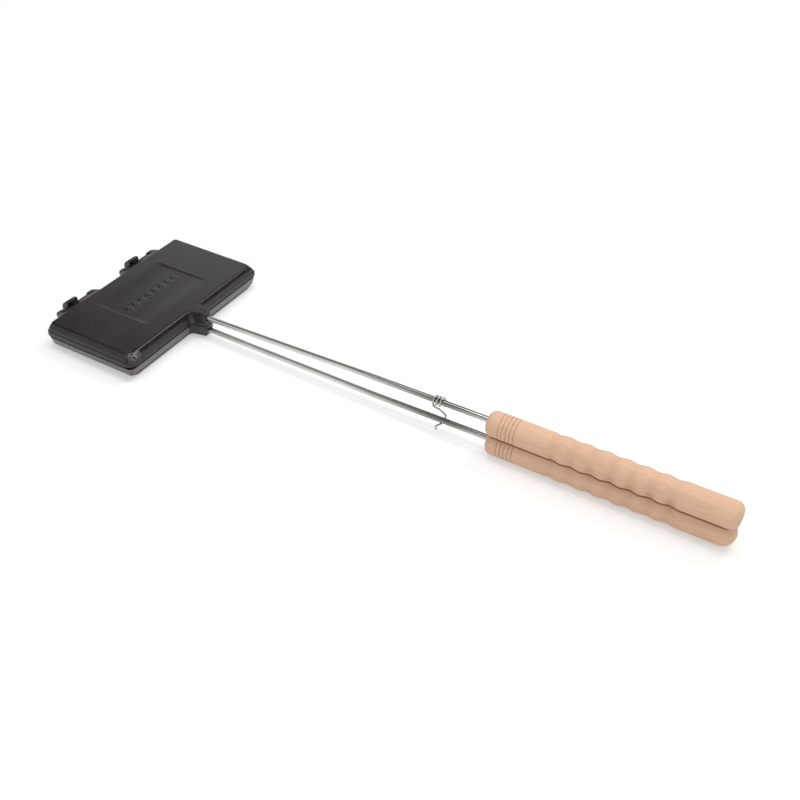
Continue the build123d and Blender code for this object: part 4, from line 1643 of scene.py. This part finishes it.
@dataclass
class Grips:
    """The two turned wooden grips."""

    finishes: Finishes
    rods: Rods
    start_x: float = 409.6
    length: float = 243.0
    radius: float = 12.8
    nose_dome: float = 7.0
    lower_nose_back: float = 1.2
    lower_tail_dome: float = 12.4
    upper_tail_dome: float = 8.2
    tail_radius: float = 13.3
    meeting_gap: float = 0.3
    ring_count: int = 5
    ring_first: float = 14.8
    ring_pitch: float = 4.0
    ring_width: float = 1.3
    ring_depth: float = 0.7
    wave_count: int = 7
    first_valley: float = 69.4
    wave_pitch: float = 18.9
    wave_depth: float = 1.3
    edge_softness: float = 0.7
    around: int = 161
    sharp_deg: float = 50.0
    dome_steps: int = 24
    plain_step: float = 3.0
    nose_step: float = 1.2
    ring_step: float = 0.16
    wave_step: float = 0.95
    ring_margin: float = 1.2
    centre_mark: tuple[tuple[float, float], ...] = (
        (0.0, 2.2), (0.0, 1.0), (0.25, 0.75), (0.8, 0.2), (0.85, 0.0))

    def dome(self, radius: float) -> list[tuple[float, float]]:
        """A quarter circle's points after the first: the way along and the rise."""
        angles = [math.radians(90 * k / self.dome_steps) for k in range(1, self.dome_steps + 1)]
        return [(radius * math.sin(a), radius * math.cos(a)) for a in angles]

    def profile(self, side: Side) -> list[tuple[float, float]]:
        """The plain turned section from the nose to the tail: X and radius.

        Args:
            side: Which grip.

        Returns:
            The points, from the nose.
        """
        upper = side is Side.UPPER
        tail_dome = self.upper_tail_dome if upper else self.lower_tail_dome
        nose = 0.0 if upper else self.lower_nose_back
        flat = self.radius - self.nose_dome
        points = [(nose, 0.0), (nose, flat * 0.5), (nose, flat)]
        points += [(nose + self.nose_dome - across, flat + along)
                   for along, across in self.dome(self.nose_dome)]
        rings_start = self.ring_first - self.ring_margin
        rings_end = (self.ring_first + self.ring_pitch * (self.ring_count - 1)
                     + self.ring_margin)
        waves_start = self.first_valley - self.wave_pitch / 4
        waves_end = waves_start + self.wave_pitch * self.wave_count
        tail_start = self.length - tail_dome
        for low, high, step in ((nose + self.nose_dome, rings_start, self.nose_step),
                                (rings_start, rings_end, self.ring_step),
                                (rings_end, waves_start, self.plain_step),
                                (waves_start, waves_end, self.wave_step),
                                (waves_end, tail_start, self.plain_step)):
            count = math.ceil((high - low) / step)
            for k in range(1, count + 1):
                x = low + (high - low) * k / count
                share = max(0.0, min(1.0, 1 - (waves_end - x) * 4 / self.wave_pitch))
                grown = (self.tail_radius - self.radius) * (1 - math.cos(share * math.pi / 2))
                points.append((x, self.radius + grown))
        flat = self.tail_radius - tail_dome
        points += [(tail_start + along, flat + across)
                   for along, across in self.dome(tail_dome)]
        points += [(self.length - deep, radius) for deep, radius in self.centre_mark]
        return points

    def build(self, side: Side, tree: GripTree) -> bpy.types.Object:
        """Makes one grip.

        Args:
            side: Which grip.
            tree: The tree that turns it.

        Returns:
            The grip.
        """
        name = f"{side.word}_handle"
        points = self.profile(side)
        data = bpy.data.meshes.new(name)
        data.from_pydata([(x * MM, 0.0, r * MM) for x, r in points],
                         [(i, i + 1) for i in range(len(points) - 1)], [])
        piece = linked(name, data)
        axis_z = (self.rods.parting_z + self.rods.grip_rise - self.rods.grip_drop
                  + side.value * self.rods.grip_offset)
        tree.put_on(piece, {
            "Vertices Around": self.around, "Start": (self.start_x * MM, 0.0, axis_z * MM),
            "Rings": float(self.ring_count), "First Ring": self.ring_first * MM,
            "Ring Pitch": self.ring_pitch * MM, "Ring Width": self.ring_width * MM,
            "Ring Depth": self.ring_depth * MM, "Waves": float(self.wave_count),
            "Wave Start": (self.first_valley - self.wave_pitch / 4) * MM,
            "Wave Pitch": self.wave_pitch * MM, "Wave Depth": self.wave_depth * MM,
            "Flat": (self.rods.grip_offset - self.meeting_gap / 2) * MM,
            "Flat Softness": self.edge_softness * MM, "Way": float(side.value),
            "Material": self.finishes.wood})
        piece = settle(piece, self.sharp_deg)
        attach(piece, side.body)
        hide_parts(f"{side.word}_grip")
        return piece


@dataclass
class LatchClip:
    """The bent wire clip: a coil on the upper rod and an arm that hooks under the lower."""

    finishes: Finishes
    rods: Rods
    wire_radius: float = 1.05
    coil_clearance: float = 0.25
    x: float = 359.3
    turns: float = 2.75
    pitch: float = 3.75
    coil_start: float = -7.8
    rod_clearance: float = 0.45
    crossing_gap: float = 0.7
    crossing_x: float = -3.6
    crossing_deg: float = 40.0
    crossing_way: tuple[float, float, float] = (-0.9, -0.5, 0.5)
    curve_steps: int = 14
    sharp_deg: float = 60.0
    hook: tuple[tuple[tuple[float, float, float], tuple[float, float, float]], ...] = (
        ((-0.33, -1.30, -1.85), (-1.0, 0.0, 0.05)),
        ((-0.70, -1.30, -1.48), (0.0, 0.15, 1.0)),
        ((-0.35, -0.80, -1.04), (0.5, 0.85, 0.12)),
        ((0.08, 0.0, -1.0), (0.35, 1.0, 0.0)),
        ((0.50, 1.0, 0.0), (0.12, 0.0, 1.0)),
    )
    arm: tuple[tuple[tuple[float, float, float], tuple[float, float, float]], ...] = (
        ((0.128, 0.135, -0.752), (-0.15, -0.38, 1.0)),
        ((0.054, 0.045, -0.572), (-0.40, -0.55, 1.0)),
        ((-0.022, -0.090, -0.380), (-0.38, -0.62, 1.0)),
    )

    def stations(self) -> list[tuple[Vector, Vector]]:
        """Places and directions along the wire, from the hook's end to the coil's end.

        Returns:
            The stations, round the upper rod's axis.
        """
        spacing = 2 * self.rods.grip_offset * math.cos(math.atan(self.rods.slope))
        reach = self.rods.radius + self.rod_clearance + self.wire_radius
        coil = self.rods.radius + self.coil_clearance + self.wire_radius
        lower = Vector((0, 0, -spacing))
        found = [(lower + Vector(place) * reach, Vector(way)) for place, way in self.hook]
        found += [(Vector(place) * spacing, Vector(way)) for place, way in self.arm]
        crossing = coil + 2 * self.wire_radius + self.crossing_gap
        below = math.radians(self.crossing_deg)
        found.append((Vector((self.crossing_x, -crossing * math.cos(below),
                              -crossing * math.sin(below))), Vector(self.crossing_way)))
        for i in range(round(self.turns * 4) + 1):
            turn = i * math.pi / 2
            found.append((
                Vector((self.coil_start + self.pitch * i / 4, -coil * math.cos(turn),
                        coil * math.sin(turn))),
                Vector((self.pitch / (2 * math.pi), coil * math.sin(turn),
                        coil * math.cos(turn)))))
        return [(place, way.normalized()) for place, way in found]

    def build(self, tree: BarTree) -> bpy.types.Object:
        """Makes the clip.

        Args:
            tree: The tree that makes the wire.

        Returns:
            The clip.
        """
        slope = self.rods.slope
        along = Vector((1, 0, slope)).normalized()
        up = Vector((-slope, 0, 1)).normalized()
        seat = Vector((self.x, 0, self.rods.height(Side.UPPER, self.x)))

        def set_in_place(v: Vector) -> Vector:
            """Turns a place round the rod's axis into the frame, in metres."""
            return (seat + along * v.x + Vector((0, 1, 0)) * v.y + up * v.z) * MM

        stations = self.stations()
        curve = bpy.data.curves.new("latch_wire", "CURVE")
        curve.dimensions = "3D"
        curve.resolution_u = self.curve_steps
        spline = curve.splines.new("BEZIER")
        spline.bezier_points.add(len(stations) - 1)
        for i, (place, way) in enumerate(stations):
            point = spline.bezier_points[i]
            point.handle_left_type = point.handle_right_type = "FREE"
            point.co = set_in_place(place)
            for handle, other, sign in (("handle_left", max(i - 1, 0), -1),
                                        ("handle_right", min(i + 1, len(stations) - 1), 1)):
                length = self.handle_length(stations[i], stations[other])
                setattr(point, handle, set_in_place(place + way * sign * length))
        piece = linked("latch_wire", curve)
        tree.put_on(piece, {"Radius": self.wire_radius * MM, "Material": self.finishes.wire})
        piece = settle(piece, self.sharp_deg)
        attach(piece, "latch")
        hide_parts("latch_clip")
        return piece

    @staticmethod
    def handle_length(here: tuple[Vector, Vector], other: tuple[Vector, Vector]) -> float:
        """The length of a curve handle that makes the run between two stations an arc.

        Args:
            here: A station's place and direction.
            other: The next station's.

        Returns:
            The length.
        """
        chord = (other[0] - here[0]).length
        cosine = max(-1.0, min(1.0, here[1].dot(other[1])))
        turn = math.acos(cosine)
        if turn < STRAIGHT_TURN:
            return chord / 3
        return chord / (2 * math.sin(turn / 2)) * 4 / 3 * math.tan(turn / 4)


@dataclass(frozen=True)
class Softbox:
    """An area lamp: where it is, what it points at, its sides and its power."""

    name: str
    place: tuple[float, float, float]
    target: tuple[float, float, float]
    size: tuple[float, float]
    power: float

    def build(self) -> None:
        """Puts the lamp in the scene."""
        data = bpy.data.lights.new(self.name, "AREA")
        data.shape = "RECTANGLE"
        data.size, data.size_y = self.size
        data.energy = self.power
        lamp = linked(self.name, data)
        lamp.location = self.place
        aim = Vector(self.target) - Vector(self.place)
        lamp.rotation_euler = aim.to_track_quat("-Z", "Y").to_euler()


@dataclass(frozen=True)
class BrightPanel:
    """A bright part of the tent: its way from the set, its soft edge and its level."""

    way: tuple[float, float, float]
    edge_deg: float
    full_deg: float
    level: float


@dataclass(frozen=True)
class GreyTent:
    """A tent of grey cloth round the set that only gloss sees, brighter in some panels."""

    radius: float = 2600.0
    base_deg: float = -3.0
    top_deg: float = 88.0
    bands: int = 14
    sides: int = 40
    grey: float = 0.15
    panels: tuple[BrightPanel, ...] = (
        BrightPanel((-0.57, -0.76, 0.30), 46.0, 18.0, 0.76),
        BrightPanel((-0.52, 0.79, 0.33), 26.0, 9.0, 1.05),
        BrightPanel((0.62, -0.63, 0.42), 30.0, 10.0, 1.0),
    )

    def build(self) -> None:
        """Makes the tent's dome, on the stage."""
        form = Form()
        rings = []
        for k in range(self.bands + 1):
            rise = math.radians(self.base_deg + (self.top_deg - self.base_deg) * k / self.bands)
            high = self.radius * math.sin(rise)
            rings.append(form.ring((p.x, p.y, high) for p in circle_points(
                self.radius * math.cos(rise), self.sides)))
        form.skin(rings)
        tent = form.object("grey_tent")
        tent.data.materials.append(self.material())
        tent.visible_camera = tent.visible_diffuse = tent.visible_shadow = False
        tent.visible_transmission = tent.visible_volume_scatter = False

    def material(self) -> bpy.types.Material:
        """Grey, with soft bright panels.

        Returns:
            The material.
        """
        made = bpy.data.materials.new("tent_cloth")
        w = Wiring(emptied(made))
        place = w.add("ShaderNodeTexCoord").outputs["Object"]
        way = w.add("ShaderNodeVectorMath", {0: place}, operation="NORMALIZE").outputs[0]
        level: Value = self.grey
        for panel in self.panels:
            aim = tuple(Vector(panel.way).normalized())
            near = w.add("ShaderNodeVectorMath", {0: way, 1: aim},
                         operation="DOT_PRODUCT").outputs["Value"]
            edge, full = (math.cos(math.radians(a)) for a in (panel.edge_deg, panel.full_deg))
            share = w.ramp(near, edge, full, smooth=True)
            level = w.math("MULTIPLY_ADD", share, panel.level - self.grey, level)
        cloth = w.add("ShaderNodeEmission", {"Strength": level})
        w.add("ShaderNodeOutputMaterial", {"Surface": cloth.outputs[0]})
        return made


@dataclass
class Studio:
    """Camera, floor, world, tent and lamps."""

    camera_place: tuple[float, float, float] = (0.701616, -0.685808, 0.664556)
    camera_turn_deg: tuple[float, float, float] = (50.3622, -1.0154, 30.3951)
    lens: float = 46.492
    floor_line: tuple[tuple[float, float], ...] = (
        (-0.24, 0.0), (-0.0543, 0.0), (0.417, -0.0076), (0.488, -0.0081), (4.0, -0.0081))
    floor_reach: float = 4.0
    floor_drop: float = 0.0001
    floor_bounce: float = 0.85
    shown_share: float = 0.64
    shown_glow: tuple[float, float] = (0.40, 0.78)
    glow_centre: tuple[float, float, float] = (0.28, 0.0, 0.0)
    glow_reach: tuple[float, float] = (0.50, 1.20)
    sky: float = 0.55
    softboxes: tuple[Softbox, ...] = (
        Softbox("key_softbox", (0.25, 0.10, 2.00), (0.25, 0.0, 0.0), (1.6, 0.8), 15.5),
        Softbox("edge_softbox", (0.80, 1.06, 1.46), (0.0, 0.0, 0.0), (0.8, 0.7), 9.0),
        Softbox("corner_softbox", (1.40, -1.42, 0.95), (0.0, 0.0, 0.0), (0.36, 0.36), 3.2),
    )

    def build(self) -> None:
        """Makes the studio."""
        self.make_camera()
        self.make_floor()
        self.make_world()
        GreyTent().build()
        for box in self.softboxes:
            box.build()
        bpy.context.scene.view_settings.view_transform = "Standard"

    def make_camera(self) -> None:
        """Sets the camera at the photograph's angle."""
        data = bpy.data.cameras.new("photo_camera")
        data.lens, data.sensor_width = self.lens, 36.0
        data.clip_start, data.clip_end = 0.01, 50.0
        camera = linked("photo_camera", data)
        camera.location = self.camera_place
        camera.rotation_euler = [math.radians(a) for a in self.camera_turn_deg]
        bpy.context.scene.camera = camera

    def make_floor(self) -> None:
        """A pale floor that the iron rests on: on the hinge-side edge and the grips."""
        far = self.floor_reach
        corners = [(x, y, z - self.floor_drop) for x, z in self.floor_line
                   for y in (-far, far)]
        strips = [(i, i + 2, i + 3, i + 1) for i in range(0, len(corners) - 2, 2)]
        data = bpy.data.meshes.new("floor")
        data.from_pydata(corners, [], strips)
        floor = linked("floor", data)
        floor.data.materials.append(self.floor_material())

    def floor_material(self) -> bpy.types.Material:
        """White where the camera or gloss sees it, with the object's shadow kept.

        Returns:
            The material.
        """
        made = bpy.data.materials.new("pale_floor")
        w = Wiring(emptied(made))
        bounce, shown = (w.add("ShaderNodeBsdfDiffuse", {"Color": (level, level, level, 1)})
                         for level in (self.floor_bounce, self.shown_share))
        place = w.add("ShaderNodeTexCoord").outputs["Object"]
        off = w.add("ShaderNodeVectorMath", {0: place, 1: self.glow_centre},
                    operation="DISTANCE").outputs["Value"]
        glow = w.add("ShaderNodeEmission", {"Strength": w.ramp(
            off, *self.glow_reach, *self.shown_glow, smooth=True)})
        both = w.add("ShaderNodeAddShader", {0: shown.outputs[0], 1: glow.outputs[0]})
        mixed = w.add("ShaderNodeMixShader", {0: seen_directly(w), 1: bounce.outputs[0],
                                              2: both.outputs[0]})
        w.add("ShaderNodeOutputMaterial", {"Surface": mixed.outputs[0]})
        return made

    def make_world(self) -> None:
        """White where the camera, gloss or glass sees it, and an even sky for light."""
        world = bpy.data.worlds.new("studio")
        bpy.context.scene.world = world
        w = Wiring(emptied(world))
        shown = w.add("ShaderNodeBackground", {
            "Color": (1.0, 1.0, 1.0, 1.0),
            "Strength": w.math("MAXIMUM", seen_directly(w), self.sky)})
        w.add("ShaderNodeOutputWorld", {"Surface": shown.outputs[0]})


def dress_pins(finishes: Finishes, nodes: dict[str, bpy.types.Object]) -> None:
    """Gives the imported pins, whose shapes are right, their finish.

    Args:
        finishes: The finishes.
        nodes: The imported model's pieces by name.
    """
    for name in ("lower_rod_pin", "upper_rod_pin", "hinge_pin_near", "hinge_pin_far"):
        pin = nodes[name]
        pin.data.materials.clear()
        pin.data.materials.append(finishes.pin)


def main() -> None:
    """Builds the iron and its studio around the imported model."""
    logging.basicConfig(level=logging.INFO, format="%(name)s: %(message)s")
    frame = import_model()
    Studio().build()
    finishes = Finishes()
    rods = Rods(finishes)
    grips = Grips(finishes, rods)
    copies = CopiesOnGrid()
    rod_tree, grip_tree = BarTree("bar_along_route", 40, bend_points=10), GripTree()
    pieces = [
        LidCasting(Side.UPPER, finishes, copies).build(),
        BaseCasting(Side.LOWER, finishes, copies).build(),
    ]
    for side in Side:
        pieces.append(rods.build(side, rod_tree))
        pieces.append(grips.build(side, grip_tree))
    pieces.append(LatchClip(finishes, rods).build(BarTree("wire_along_curve", 16)))
    dress_pins(finishes, frame["nodes"])
    for piece in pieces:
        LOG.info("%s: %d faces", piece.name, len(piece.data.polygons))


if __name__ == "__main__":
    main()
